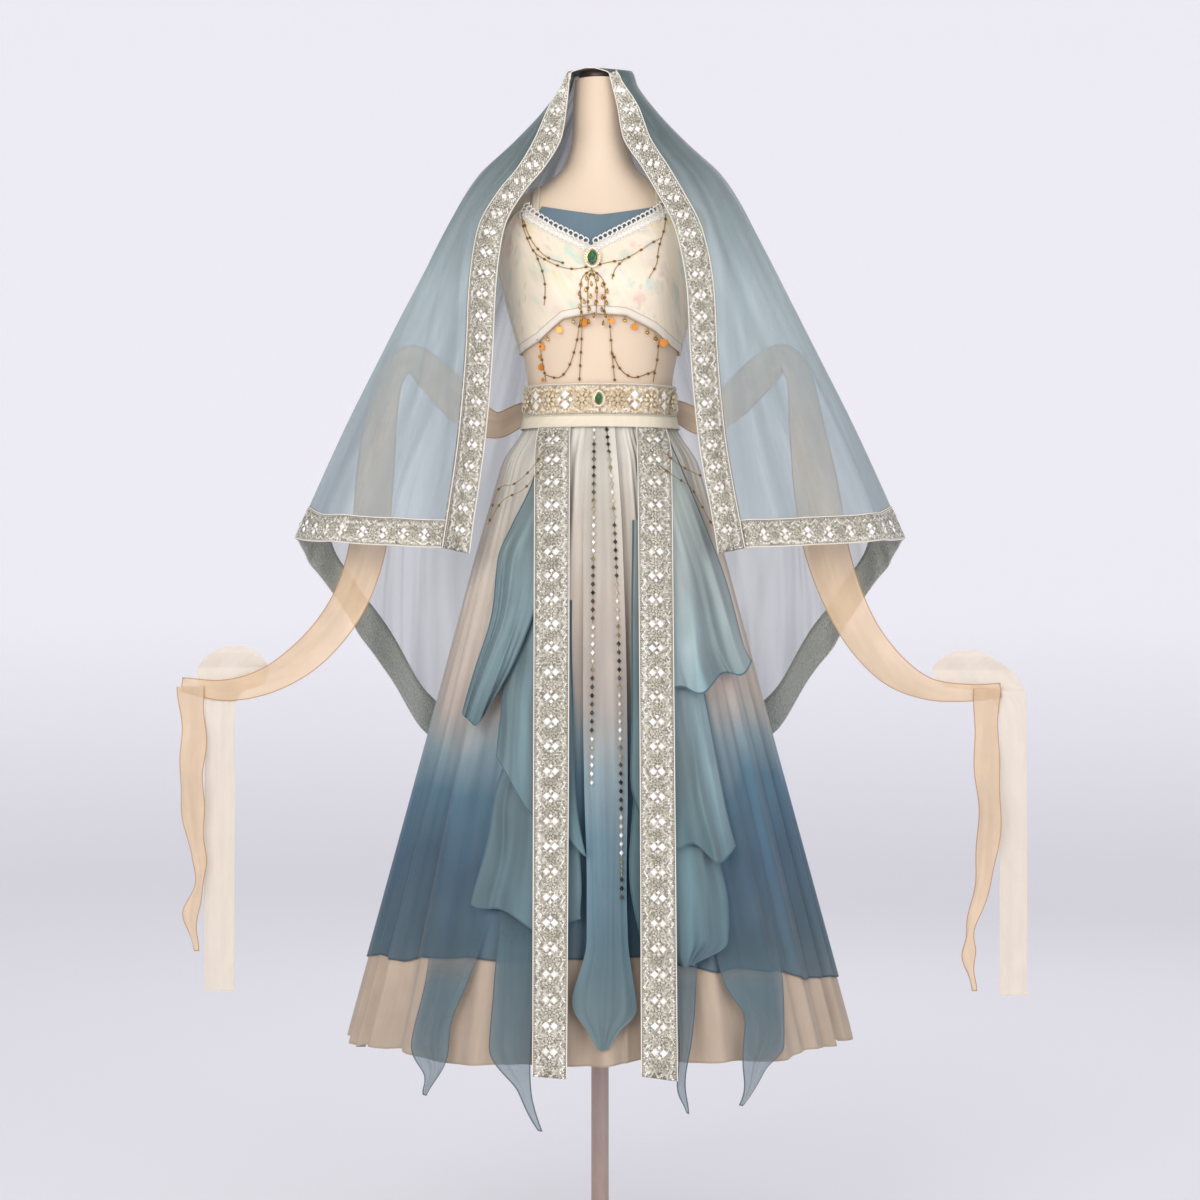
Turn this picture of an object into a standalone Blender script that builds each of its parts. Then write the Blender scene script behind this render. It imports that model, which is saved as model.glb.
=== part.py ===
"""Dance hanfu set on a limbless dress form: cropped top, belt, gathered skirt with cascades and
bands, sheer veil and arm sash. Metres, +Z up, the front faces -Y and the origin is on the floor
at the middle of the base. Left and right are the viewer's, so left is -X.
"""
import bpy
import numpy as np
from math import asin, cos, pi, radians, sin

# Gaps and cloth thicknesses
SEAM_GAP = 0.0004
CHIFFON = 0.0012
SATIN = 0.0020
TRIM = 0.0014

# Dress form: height, half width, half depth
TORSO_SECTIONS = (
    (1.8700, 0.0400, 0.0430),
    (1.8300, 0.0435, 0.0465),
    (1.7750, 0.0440, 0.0480),
    (1.7300, 0.0560, 0.0540),
    (1.7020, 0.0900, 0.0590),
    (1.6800, 0.1380, 0.0650),
    (1.6550, 0.1700, 0.0750),
    (1.6200, 0.1740, 0.0860),
    (1.5700, 0.1600, 0.0960),
    (1.5350, 0.1500, 0.1000),
    (1.4900, 0.1390, 0.0970),
    (1.4400, 0.1250, 0.0900),
    (1.3900, 0.1155, 0.0850),
    (1.3300, 0.1145, 0.0845),
    (1.3050, 0.1165, 0.0865),
    (1.2800, 0.1280, 0.0960),
    (1.2200, 0.1420, 0.1080),
    (1.1200, 0.1480, 0.1120),
    (1.0600, 0.1380, 0.1020),
    (1.0400, 0.1200, 0.0880),
)
TORSO_SIDES = 28
BUST_X = 0.072
BUST_Z = 1.535
BUST_SPREAD_X = 0.046
BETWEEN_ON_FORM = 0.062
BETWEEN_UNDER_TOP = 0.080
BETWEEN_IN_TOP = 0.120
BUST_SPREAD_Z = 0.052
BUST_RISE = 0.022
CROWN_Z = 1.8840
CAP_RADIUS = 0.033
POLE_RADIUS = 0.0140
BASE_RADIUS = 0.200
BASE_HEIGHT = 0.016

# Top: x across the front, height of its upper edge and of its hem
BODICE_EDGES = (
    (-0.148, 1.5850, 1.4320),
    (-0.135, 1.6120, 1.4380),
    (-0.110, 1.6640, 1.4480),
    (-0.062, 1.6270, 1.4800),
    (-0.012, 1.5950, 1.4880),
    (0.042, 1.6300, 1.4850),
    (0.094, 1.6640, 1.4640),
    (0.130, 1.6150, 1.4420),
    (0.148, 1.5850, 1.4340),
)
BODICE_LIFT = 0.0042
BODICE_BACK_TOP = 1.530
LACE_WIDTH = 0.016
STRAP_HALF_WIDTH = 0.006
STRAP_CENTRE_Z = 1.600
STRAP_SEAT = 0.0072
STRAP_LIFT = 0.0021
SIDE_SEAM_ANGLE = 0.004
PANEL_ENDS = (-0.084, 0.078)
PANEL_TOP = 1.646
PANEL_RISE = 0.014
PANEL_DROP = 0.058
PANEL_LIFT = 0.0018
COIN_COUNT = 11
COIN_STRIP = 0.006
COIN_DROP = 0.016
BROOCH_HALF_SIZE = (0.0145, 0.0175)
BROOCH_DEPTH = 0.003
STONE_HALF_SIZE = (0.0080, 0.0112)
STONE_DEPTH = 0.004
BUST_BROOCH = (-0.012, 1.574)
BELT_BROOCH = (-0.002, 1.356)
BELT_BROOCH_SCALE = 0.8

# Belt and waistband
BELT_BOTTOM = 1.3302
BELT_TOP = 1.3796
BELT_INSIDE = (0.1187, 0.0887)
BELT_THICKNESS = 0.0028
WAISTBAND_BOTTOM = 1.3118
WAISTBAND_TOP = 1.3296
WAISTBAND_LIFT = 0.0010
WAISTBAND_FRONT_LIFT = 0.0056

# Skirt: height, half width, half depth at the ridges, and depth of the folds
SKIRT_SECTIONS = (
    (1.3720, 0.1180, 0.0880, 0.0000),
    (1.3250, 0.1180, 0.0880, 0.0000),
    (1.3080, 0.1240, 0.0930, 0.0030),
    (1.2640, 0.1560, 0.1180, 0.0080),
    (1.1000, 0.2030, 0.1590, 0.0140),
    (0.8000, 0.2840, 0.2220, 0.0230),
    (0.3400, 0.4100, 0.3170, 0.0360),
)
SKIRT_FOLDS = 26
COLUMNS_PER_FOLD = 4
SKIRT_HEM = (0.505, 0.433, 0.450, 0.474)
UNDERSKIRT_TOP = 1.200
UNDERSKIRT_HEM = 0.345
LINING_GAP = 0.0008
STATION_SPACE = 0.016

# How far the overlays stand off the skirt at their top and their hem, and how deep they ripple
CENTRE_STAND = (0.0008, 0.0012)
TAIL_STAND = (0.0007, 0.0060)
BEAD_STAND = (0.0026, 0.0075)
CASCADE_TOP_STAND = 0.0008
CASCADE_HEM_STANDS = (("low", 0.0075, 0.5), ("middle", 0.0120, 2.5), ("top", 0.0180, 1.2))
RIPPLE = 0.007
BAND_HEIGHTS = (0.330, 0.650, 0.900, 1.150, 1.325)
BAND_STANDS = (0.0240, 0.0270, 0.0240, 0.0150, 0.0030)

# Overlays on the skirt: left x and z, right x and z, a row from the top edge to the hem
CENTRE_PANEL = (
    (-0.020, 1.325, 0.022, 1.325),
    (-0.026, 1.150, 0.034, 1.150),
    (-0.026, 0.900, 0.041, 0.900),
    (-0.024, 0.760, 0.042, 0.760),
    (-0.020, 0.620, 0.040, 0.620),
    (-0.020, 0.530, 0.042, 0.530),
    (-0.042, 0.440, 0.055, 0.430),
    (-0.018, 0.395, 0.028, 0.395),
    (-0.004, 0.370, 0.012, 0.370),
)
CASCADE_LEFT_TOP = (
    (-0.088, 1.325, -0.050, 1.325),
    (-0.105, 1.230, -0.053, 1.230),
    (-0.137, 1.157, -0.062, 1.156),
    (-0.161, 1.102, -0.085, 1.102),
    (-0.171, 1.017, -0.103, 1.017),
    (-0.189, 0.939, -0.128, 0.940),
    (-0.212, 0.851, -0.172, 0.852),
)
CASCADE_LEFT_MIDDLE = (
    (-0.124, 1.040, -0.043, 1.040),
    (-0.136, 0.963, -0.043, 0.948),
    (-0.154, 0.886, -0.040, 0.827),
    (-0.153, 0.833, -0.033, 0.737),
    (-0.162, 0.777, -0.024, 0.645),
)
CASCADE_LEFT_LOW = (
    (-0.135, 0.826, -0.038, 0.760),
    (-0.153, 0.768, -0.033, 0.690),
    (-0.172, 0.685, -0.030, 0.604),
    (-0.192, 0.572, -0.025, 0.538),
)
CASCADE_RIGHT_TOP = (
    (0.058, 1.325, 0.096, 1.325),
    (0.062, 1.195, 0.157, 1.181),
    (0.069, 1.102, 0.191, 1.087),
    (0.084, 0.979, 0.220, 0.993),
    (0.104, 0.887, 0.239, 0.933),
)
CASCADE_RIGHT_MIDDLE = (
    (0.050, 1.164, 0.117, 1.165),
    (0.049, 1.040, 0.136, 1.009),
    (0.046, 0.887, 0.163, 0.886),
    (0.049, 0.767, 0.190, 0.749),
    (0.060, 0.685, 0.204, 0.641),
)
CASCADE_RIGHT_LOW = (
    (0.055, 0.797, 0.153, 0.795),
    (0.048, 0.707, 0.175, 0.675),
    (0.045, 0.619, 0.193, 0.585),
    (0.060, 0.531, 0.193, 0.526),
    (0.114, 0.493, 0.150, 0.487),
)
TAIL_LEFT_OUTER = (
    (-0.255, 0.560, -0.163, 0.560),
    (-0.268, 0.455, -0.199, 0.460),
    (-0.285, 0.361, -0.226, 0.393),
    (-0.270, 0.322, -0.236, 0.340),
    (-0.262, 0.292, -0.256, 0.291),
)
TAIL_LEFT_INNER = (
    (-0.172, 0.620, -0.066, 0.620),
    (-0.151, 0.550, -0.096, 0.550),
    (-0.159, 0.465, -0.099, 0.467),
    (-0.170, 0.370, -0.104, 0.384),
    (-0.118, 0.305, -0.098, 0.315),
    (-0.092, 0.250, -0.085, 0.249),
)
TAIL_RIGHT_INNER = (
    (0.105, 0.560, 0.151, 0.560),
    (0.111, 0.471, 0.144, 0.470),
    (0.115, 0.370, 0.137, 0.376),
    (0.119, 0.311, 0.131, 0.318),
    (0.122, 0.276, 0.127, 0.273),
)
TAIL_RIGHT_OUTER = (
    (0.165, 0.560, 0.262, 0.560),
    (0.186, 0.461, 0.279, 0.454),
    (0.220, 0.400, 0.283, 0.366),
    (0.214, 0.330, 0.246, 0.330),
    (0.207, 0.282, 0.213, 0.280),
)
FRONT_BAND_LEFT = (
    (-0.094, 1.325, -0.046, 1.325),
    (-0.102, 1.264, -0.047, 1.264),
    (-0.101, 0.887, -0.047, 0.887),
    (-0.100, 0.334, -0.049, 0.331),
)
FRONT_BAND_RIGHT = (
    (0.056, 1.325, 0.100, 1.325),
    (0.058, 1.264, 0.112, 1.264),
    (0.060, 0.887, 0.113, 0.887),
    (0.061, 0.335, 0.115, 0.326),
)
BEAD_STRIP_LEFT = (
    (-0.012, 1.325, -0.006, 1.325),
    (-0.014, 1.040, -0.008, 1.040),
    (-0.016, 0.760, -0.010, 0.760),
)
BEAD_STRIP_RIGHT = (
    (0.006, 1.325, 0.012, 1.325),
    (0.019, 1.164, 0.025, 1.164),
    (0.027, 0.900, 0.033, 0.900),
    (0.030, 0.590, 0.036, 0.590),
)

# Veil: height, outer half width, x of the left and right front edges, y of the front and the back
VEIL_SECTIONS = (
    (1.8750, 0.050, -0.046, 0.014, -0.0480, 0.050),
    (1.8200, 0.092, -0.052, 0.027, -0.0550, 0.058),
    (1.7700, 0.140, -0.060, 0.036, -0.0640, 0.066),
    (1.7200, 0.193, -0.087, 0.066, -0.0780, 0.080),
    (1.6800, 0.219, -0.118, 0.088, -0.0920, 0.096),
    (1.6300, 0.244, -0.148, 0.115, -0.1080, 0.114),
    (1.5400, 0.289, -0.161, 0.134, -0.1300, 0.132),
    (1.4000, 0.360, -0.168, 0.142, -0.1220, 0.140),
    (1.2700, 0.425, -0.180, 0.155, -0.1240, 0.154),
    (1.1200, 0.490, -0.202, 0.183, -0.1360, 0.184),
    (0.8000, 0.490, -0.202, 0.183, -0.1360, 0.256),
    (0.7600, 0.490, -0.202, 0.183, -0.1360, 0.262),
)
VEIL_SHEET = 0.0010
VEIL_SHOULDER_Z = 1.680
VEIL_FRONT_HEM = 1.112
VEIL_CORNER_HEM = 1.136
VEIL_BACK_HEM = 0.778
VEIL_BACK_CORNER_X = 0.272
VEIL_TRIM_WIDTH = 0.043
VEIL_BACK_CELLS = 10
VEIL_FRONT_CELLS = 4
CROWN_DROP = 0.010
CROWN_FRONT = np.array((-0.016, -0.046))
CROWN_NOTCH = 0.45

# Arm sash: x, y, z and half width of the ribbon, from the waist to the hand
SASH_ARM_LEFT = (
    (-0.100, 0.0640, 1.352, 0.017),
    (-0.128, 0.048, 1.340, 0.018),
    (-0.170, 0.034, 1.322, 0.022),
    (-0.220, 0.026, 1.350, 0.028),
    (-0.265, 0.016, 1.398, 0.028),
    (-0.302, 0.006, 1.426, 0.022),
    (-0.334, 0.000, 1.398, 0.021),
    (-0.350, -0.004, 1.330, 0.026),
    (-0.359, -0.008, 1.240, 0.030),
    (-0.368, -0.010, 1.140, 0.030),
    (-0.390, -0.012, 1.060, 0.029),
    (-0.425, -0.012, 0.998, 0.028),
    (-0.475, -0.012, 0.946, 0.026),
    (-0.535, -0.012, 0.910, 0.021),
    (-0.600, -0.012, 0.896, 0.017),
    (-0.668, -0.012, 0.905, 0.012),
)
SASH_ARM_RIGHT = (
    (0.100, 0.0640, 1.353, 0.017),
    (0.128, 0.048, 1.344, 0.018),
    (0.166, 0.034, 1.328, 0.022),
    (0.210, 0.026, 1.356, 0.028),
    (0.256, 0.016, 1.402, 0.028),
    (0.292, 0.006, 1.428, 0.022),
    (0.318, 0.000, 1.398, 0.021),
    (0.330, -0.004, 1.320, 0.028),
    (0.345, -0.008, 1.220, 0.036),
    (0.360, -0.010, 1.128, 0.036),
    (0.385, -0.012, 1.050, 0.033),
    (0.420, -0.012, 0.982, 0.030),
    (0.468, -0.012, 0.928, 0.026),
    (0.525, -0.012, 0.898, 0.018),
    (0.590, -0.012, 0.892, 0.014),
    (0.640, -0.012, 0.896, 0.012),
)
SASH_END_LEFT = (
    (-0.6530, 0.0000, 0.9020, 0.0210),
    (-0.6480, -0.0060, 0.8200, 0.0200),
    (-0.6500, -0.0100, 0.7400, 0.0190),
    (-0.6440, -0.0060, 0.6600, 0.0150),
    (-0.6360, -0.0080, 0.6000, 0.0080),
    (-0.6520, -0.0040, 0.5400, 0.0120),
    (-0.6440, 0.0000, 0.4800, 0.0030),
)
SASH_END_RIGHT = (
    (0.6180, 0.0000, 0.8980, 0.0210),
    (0.6160, -0.0060, 0.8000, 0.0200),
    (0.6200, -0.0100, 0.7000, 0.0190),
    (0.6120, -0.0060, 0.6000, 0.0150),
    (0.5920, -0.0060, 0.5200, 0.0080),
    (0.5880, -0.0040, 0.4700, 0.0100),
    (0.5970, 0.0000, 0.4160, 0.0030),
)
SASH_FOLD_LEFT = (
    (-0.5840, 0.0000, 0.9660, 0.0140),
    (-0.5840, 0.0030, 0.9560, 0.0360),
    (-0.5860, 0.0060, 0.9320, 0.0560),
    (-0.5900, 0.0030, 0.9050, 0.0500),
    (-0.6060, 0.0000, 0.8750, 0.0250),
    (-0.6080, 0.0060, 0.7200, 0.0240),
    (-0.6080, 0.0000, 0.5600, 0.0240),
    (-0.6080, 0.0040, 0.4160, 0.0230),
)
SASH_FOLD_RIGHT = (
    (0.5860, 0.0000, 0.9600, 0.0140),
    (0.5860, 0.0030, 0.9500, 0.0360),
    (0.5940, 0.0060, 0.9280, 0.0620),
    (0.6150, 0.0030, 0.9020, 0.0600),
    (0.6560, 0.0000, 0.8750, 0.0240),
    (0.6600, 0.0060, 0.7200, 0.0220),
    (0.6600, 0.0000, 0.5600, 0.0220),
    (0.6600, 0.0040, 0.4080, 0.0220),
)
SASH_PLANE_Y = -0.012
SASH_LEAVES_AT = radians(140)
SASH_START = (1.3545, 0.0165)
SASH_BACK_HEIGHTS = (1.338, 1.371)
SASH_LIFT = 0.0010
SASH_ARM_CREASES = (0.0, 0.004, -0.003, 0.0)
SASH_END_CREASES = (0.0, -0.006, -0.001, 0.0)
SASH_FOLD_CREASES = (0.0, 0.008, 0.002, 0.007, 0.0)


def remove_objects():
    for obj in list(bpy.data.objects):
        bpy.data.objects.remove(obj, do_unlink=True)


def finish(name, colour, roughness, metallic=0.0):
    """A plain finish with one colour, given as sRGB parts from 0 to 255."""
    made = bpy.data.materials.new(name)
    made.use_nodes = True
    shader = made.node_tree.nodes["Principled BSDF"]
    linear = [(part / 255) ** 2.2 for part in colour]
    shader.inputs["Base Color"].default_value = (*linear, 1.0)
    shader.inputs["Roughness"].default_value = roughness
    shader.inputs["Metallic"].default_value = metallic
    return made


def add_solid(name, points, faces, made, sharp=50):
    """A closed mesh object, turned so that its faces point outwards."""
    points = np.asarray(points, dtype=float)
    volume = 0.0
    for face in faces:
        for k in range(1, len(face) - 1):
            corner = points[[face[0], face[k], face[k + 1]]]
            volume += np.dot(corner[0], np.cross(corner[1], corner[2]))
    if volume < 0:
        faces = [tuple(reversed(face)) for face in faces]
    mesh = bpy.data.meshes.new(name)
    mesh.from_pydata([tuple(p) for p in points], [], faces)
    mesh.materials.append(made)
    mesh.shade_smooth()
    mesh.set_sharp_from_angle(angle=radians(sharp))
    mesh.update()
    obj = bpy.data.objects.new(name, mesh)
    bpy.context.collection.objects.link(obj)
    return obj


def column(table, heights, value):
    """Read one column of a table of sections at the given heights, straight between its rows."""
    rows = np.array(sorted(table))
    return np.interp(heights, rows[:, 0], rows[:, value])


def smooth_path(rows, count):
    """Evenly spread rows of a table along a smooth curve through all of its columns."""
    rows = np.asarray(rows, dtype=float)
    slope = np.gradient(rows, axis=0)
    spots = np.linspace(0, len(rows) - 1, count)
    first = np.minimum(spots.astype(int), len(rows) - 2)
    t = (spots - first)[:, None]
    start, end = rows[first], rows[first + 1]
    leave, arrive = slope[first], slope[first + 1]
    return ((2 * t**3 - 3 * t**2 + 1) * start + (t**3 - 2 * t**2 + t) * leave
            + (3 * t**2 - 2 * t**3) * end + (t**3 - t**2) * arrive)


def grid_normals(grid, closed=False, facing=None):
    """Unit normals of a grid of points, away from the Z axis or towards the facing vector."""
    if closed:
        around = np.roll(grid, -1, axis=1) - np.roll(grid, 1, axis=1)
    else:
        around = np.gradient(grid, axis=1)
    along = np.gradient(grid, axis=0)
    normals = np.cross(around, along)
    normals /= np.maximum(np.linalg.norm(normals, axis=2, keepdims=True), 1e-12)
    outward = grid * (1, 1, 0) if facing is None else np.broadcast_to(facing, grid.shape)
    return normals * np.sign((normals * outward).sum())


def wall(name, outer, inner, made, closed=False):
    """A closed wall between two grids of points with the same rows and columns."""
    rows, columns = outer.shape[:2]
    size = rows * columns
    faces = []
    spans = columns if closed else columns - 1
    for i in range(rows - 1):
        for j in range(spans):
            a, b = i * columns + j, i * columns + (j + 1) % columns
            c, d = b + columns, a + columns
            faces += [(a, b, c), (a, c, d)]
            faces += [(size + c, size + b, size + a), (size + d, size + c, size + a)]
    edges = []
    for j in range(spans):
        edges.append((j, (j + 1) % columns))
        last = (rows - 1) * columns
        edges.append((last + (j + 1) % columns, last + j))
    if not closed:
        for i in range(rows - 1):
            edges.append(((i + 1) * columns, i * columns))
            edges.append((i * columns + columns - 1, (i + 1) * columns + columns - 1))
    for a, b in edges:
        faces += [(b, a, size + a), (b, size + a, size + b)]
    points = np.concatenate([outer.reshape(-1, 3), inner.reshape(-1, 3)])
    return add_solid(name, points, faces, made)


def sheet(name, grid, thickness, made, lift=0.0, normals=None, closed=False, facing=None):
    """A wall of cloth on a grid, its inner side moved out by lift."""
    if normals is None:
        normals = grid_normals(grid, closed, facing)
    return wall(name, grid + normals * (lift + thickness), grid + normals * lift, made, closed)


def shorten(grid, side, distance):
    """Pull one edge of a grid back towards its neighbour, to leave a seam."""
    grid = grid.copy()
    view = {"first_row": grid, "last_row": grid[::-1],
            "first_column": grid.transpose(1, 0, 2), "last_column": grid.transpose(1, 0, 2)[::-1]}[side]
    step = view[1] - view[0]
    length = np.maximum(np.linalg.norm(step, axis=1, keepdims=True), 1e-9)
    view[0] += step / length * distance
    return grid


# The dress form

def torso_axes(heights):
    return column(TORSO_SECTIONS, heights, 1), column(TORSO_SECTIONS, heights, 2)


def on_torso(angle, height, lift=0.0, between=BETWEEN_ON_FORM):
    """Points on the form: the angle is 0 at the front and grows towards +X. Cloth takes a larger
    value for between, because it spans the hollow between the cups."""
    half_width, half_depth = torso_axes(height)
    x = (half_width + lift) * np.sin(angle)
    y = -(half_depth + lift) * np.cos(angle)
    spread = np.where(np.abs(x) < BUST_X, between, BUST_SPREAD_X)
    across = ((np.abs(x) - BUST_X) / spread) ** 2
    up = ((height - BUST_Z) / BUST_SPREAD_Z) ** 2
    y = y - np.where(np.cos(angle) > 0, BUST_RISE * np.exp(-across - up) * np.cos(angle), 0)
    return np.stack([x, y, np.broadcast_to(height, x.shape)], axis=-1)


def capped_rings(name, rings, made, sharp=50):
    """A closed turned or lofted solid: rings of points with a flat face at each end."""
    count, sides = rings.shape[:2]
    faces = [tuple(range(sides)), tuple(reversed(range((count - 1) * sides, count * sides)))]
    for i in range(count - 1):
        for j in range(sides):
            a, b = i * sides + j, i * sides + (j + 1) % sides
            faces.append((a + sides, b + sides, b, a))
    return add_solid(name, rings.reshape(-1, 3), faces, made, sharp)


def turned(name, profile, sides, made):
    """A solid turned round the Z axis from a profile of radius and height pairs."""
    angle = np.arange(sides) * 2 * pi / sides
    rings = [np.stack([radius * np.sin(angle), -radius * np.cos(angle), np.full(sides, height)], axis=-1)
             for radius, height in profile]
    return capped_rings(name, np.array(rings), made, sharp=35)


def make_form():
    cover = finish("form_cover", (226, 205, 184), 0.75)
    wood = finish("cap_wood", (74, 58, 51), 0.4)
    metal = finish("stand_metal", (168, 150, 144), 0.4, 0.3)
    angle = np.arange(TORSO_SIDES) * 2 * pi / TORSO_SIDES
    heights = np.array([row[0] for row in TORSO_SECTIONS])
    rings = on_torso(angle[None, :], heights[:, None])
    capped_rings("form_torso", rings, cover)
    neck_top = TORSO_SECTIONS[0][0] + SEAM_GAP
    cap_top = CROWN_Z - VEIL_SHEET / 2 - SEAM_GAP
    cap = ((CAP_RADIUS - 0.001, neck_top), (CAP_RADIUS, neck_top + 0.003),
           (CAP_RADIUS, cap_top - 0.004), (CAP_RADIUS - 0.005, cap_top))
    turned("form_cap", cap, 20, wood)
    torso_bottom = TORSO_SECTIONS[-1][0] - SEAM_GAP
    pole = ((POLE_RADIUS, BASE_HEIGHT + 0.010 + SEAM_GAP), (POLE_RADIUS, torso_bottom))
    turned("form_pole", pole, 16, metal)
    base = ((BASE_RADIUS, 0.0), (BASE_RADIUS, BASE_HEIGHT - 0.006), (BASE_RADIUS - 0.006, BASE_HEIGHT),
            (0.034, BASE_HEIGHT), (0.026, BASE_HEIGHT + 0.010))
    turned("form_base", base, 40, metal)


# The cropped top

def bodice_grid(lift):
    """Points of the front of the top, a row from the hem to the upper edge."""
    edges = np.array(BODICE_EDGES)
    spots = np.linspace(0, len(edges) - 1, 2 * len(edges) + 3)
    x = np.interp(spots, np.arange(len(edges)), edges[:, 0])
    x = np.unique(np.concatenate([x, edges[[2, 4, 6], 0]]))
    angle = np.arcsin(x / torso_axes(BUST_Z)[0])
    top = np.interp(x, edges[:, 0], edges[:, 1])
    hem = np.interp(x, edges[:, 0], edges[:, 2])
    share = np.array([0.0, 0.25, 0.5, 0.75, 1.0])[:, None]
    heights = hem + share * (top - LACE_WIDTH - hem)
    heights = np.concatenate([heights, top[None, :]])
    return x, on_torso(np.broadcast_to(angle, heights.shape), heights, lift, BETWEEN_IN_TOP)


def make_bodice():
    satin = finish("top_satin", (224, 213, 191), 0.55)
    teal = finish("panel_teal", (100, 119, 127), 0.6)
    lace = finish("white_lace", (242, 238, 228), 0.7)
    gold = finish("old_gold", (224, 154, 74), 0.35, 0.8)
    x, front = bodice_grid(BODICE_LIFT)
    normals = grid_normals(front)
    sheet("bodice_front", front, SATIN, satin, normals=normals)

    half_width = torso_axes(BUST_Z)[0]
    side = asin(BODICE_EDGES[-1][0] / half_width) + SIDE_SEAM_ANGLE
    angle = np.linspace(side, 2 * pi - side, 17)[None, :]
    away = np.minimum(angle - side, 2 * pi - side - angle) / (pi - side)
    top = BODICE_BACK_TOP + (BODICE_EDGES[0][1] - BODICE_BACK_TOP) * (1 - away) ** 4
    hem = np.full_like(angle, BODICE_EDGES[0][2])
    heights = hem + np.array([0.0, 0.5, 1.0])[:, None] * (top - hem)
    back = on_torso(np.broadcast_to(angle, heights.shape), heights, BODICE_LIFT)
    sheet("bodice_back", back, SATIN, satin)

    strap_x = [row[0] for row in (BODICE_EDGES[2], BODICE_EDGES[6])]
    middle = BODICE_EDGES[4][0]
    lift = SATIN + SEAM_GAP
    for name, low, high, seam in (("lace_left", strap_x[0], middle, "last_column"),
                                  ("lace_right", middle, strap_x[1], "first_column")):
        keep = (x >= low - 1e-6) & (x <= high + 1e-6)
        strip = shorten(front[-2:, keep], seam, SEAM_GAP)
        sheet(name, strip, TRIM, lace, lift, normals[-2:, keep])

    for name, spot in (("strap_left", strap_x[0] * 0.93), ("strap_right", strap_x[1])):
        sheet(name, strap_grid(spot), SATIN, satin, lift=STRAP_LIFT, normals=strap_normals(spot))

    panel_x = np.linspace(*PANEL_ENDS, 17)
    angle = np.arcsin(panel_x / half_width)
    edge = PANEL_TOP + PANEL_RISE * (np.abs(panel_x) / PANEL_ENDS[1]) ** 1.2
    heights = edge - np.linspace(0, PANEL_DROP, 7)[:, None]
    panel = on_torso(np.broadcast_to(angle, heights.shape), heights, PANEL_LIFT, BETWEEN_UNDER_TOP)
    sheet("modesty_panel", panel, CHIFFON, teal)

    ends = np.array([BODICE_EDGES[2][0] * 1.05, BODICE_EDGES[6][0] * 1.15])
    along = np.linspace(0, COIN_COUNT, COIN_COUNT * 4 + 1)
    coin_x = ends[0] + (ends[1] - ends[0]) * along / COIN_COUNT
    edges = np.array(BODICE_EDGES)
    hem = np.interp(coin_x, x, front[0, :, 2]) - 0.0010
    strip = on_torso(np.arcsin(coin_x / half_width), hem, BODICE_LIFT + 0.0004, BETWEEN_IN_TOP)
    drop = COIN_STRIP + COIN_DROP * np.sin(pi * (along % 1.0))
    low = strip.copy()
    low[:, 2] -= drop
    sheet("coin_trim", np.stack([strip, low]), TRIM, gold)


def strap_path(spot):
    """Centre points of a shoulder strap over the form, from the front of the top to its back."""
    start_z = BODICE_EDGES[2][1] + SATIN + SEAM_GAP
    half_width, half_depth = torso_axes(start_z)
    start = np.array([-half_depth * np.sqrt(1 - (spot / half_width) ** 2), start_z])
    end_z = BODICE_BACK_TOP + STRAP_SEAT
    half_width, half_depth = torso_axes(end_z)
    end = np.array([half_depth * np.sqrt(1 - (spot / half_width) ** 2), end_z])
    first = np.arctan2(start[1] - STRAP_CENTRE_Z, start[0])
    last = np.arctan2(end[1] - STRAP_CENTRE_Z, end[0])
    return np.linspace(first, last, 17)


def torso_reach(x, angle):
    """Distance from the shoulder's centre line to the form's surface, in the plane at x."""
    low, high = 0.0, 0.3
    for _ in range(40):
        middle = (low + high) / 2
        y = middle * cos(angle)
        half_width, half_depth = torso_axes(STRAP_CENTRE_Z + middle * sin(angle))
        inside = (x / half_width) ** 2 + (y / half_depth) ** 2 < 1
        low, high = (middle, high) if inside else (low, middle)
    return low


def strap_grid(spot):
    rows = []
    for angle in strap_path(spot):
        row = []
        for x in (spot - STRAP_HALF_WIDTH, spot + STRAP_HALF_WIDTH):
            reach = torso_reach(x, angle)
            row.append((x, reach * cos(angle), STRAP_CENTRE_Z + reach * sin(angle)))
        rows.append(row)
    return np.array(rows)


def strap_normals(spot):
    angle = strap_path(spot)
    rows = np.stack([np.zeros_like(angle), np.cos(angle), np.sin(angle)], axis=-1)
    return np.repeat(rows[:, None, :], 2, axis=1)


def jewel(name, centre, half_width, half_height, depth, point, made, sides=16):
    """A domed oval or drop that faces the front, its flat back at the centre's y."""
    angle = np.arange(sides) * 2 * pi / sides
    rings = []
    for share, y in ((1.0, 0.0), (1.0, 0.45), (0.72, 1.0)):
        height = np.cos(angle) * half_height * share
        width = np.sin(angle) * half_width * share * (1 - point * np.maximum(np.cos(angle), 0) ** 2)
        rings.append(np.stack([centre[0] + width, np.full(sides, centre[1] - y * depth),
                               centre[2] + height], axis=-1))
    return capped_rings(name, np.array(rings), made)


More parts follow.
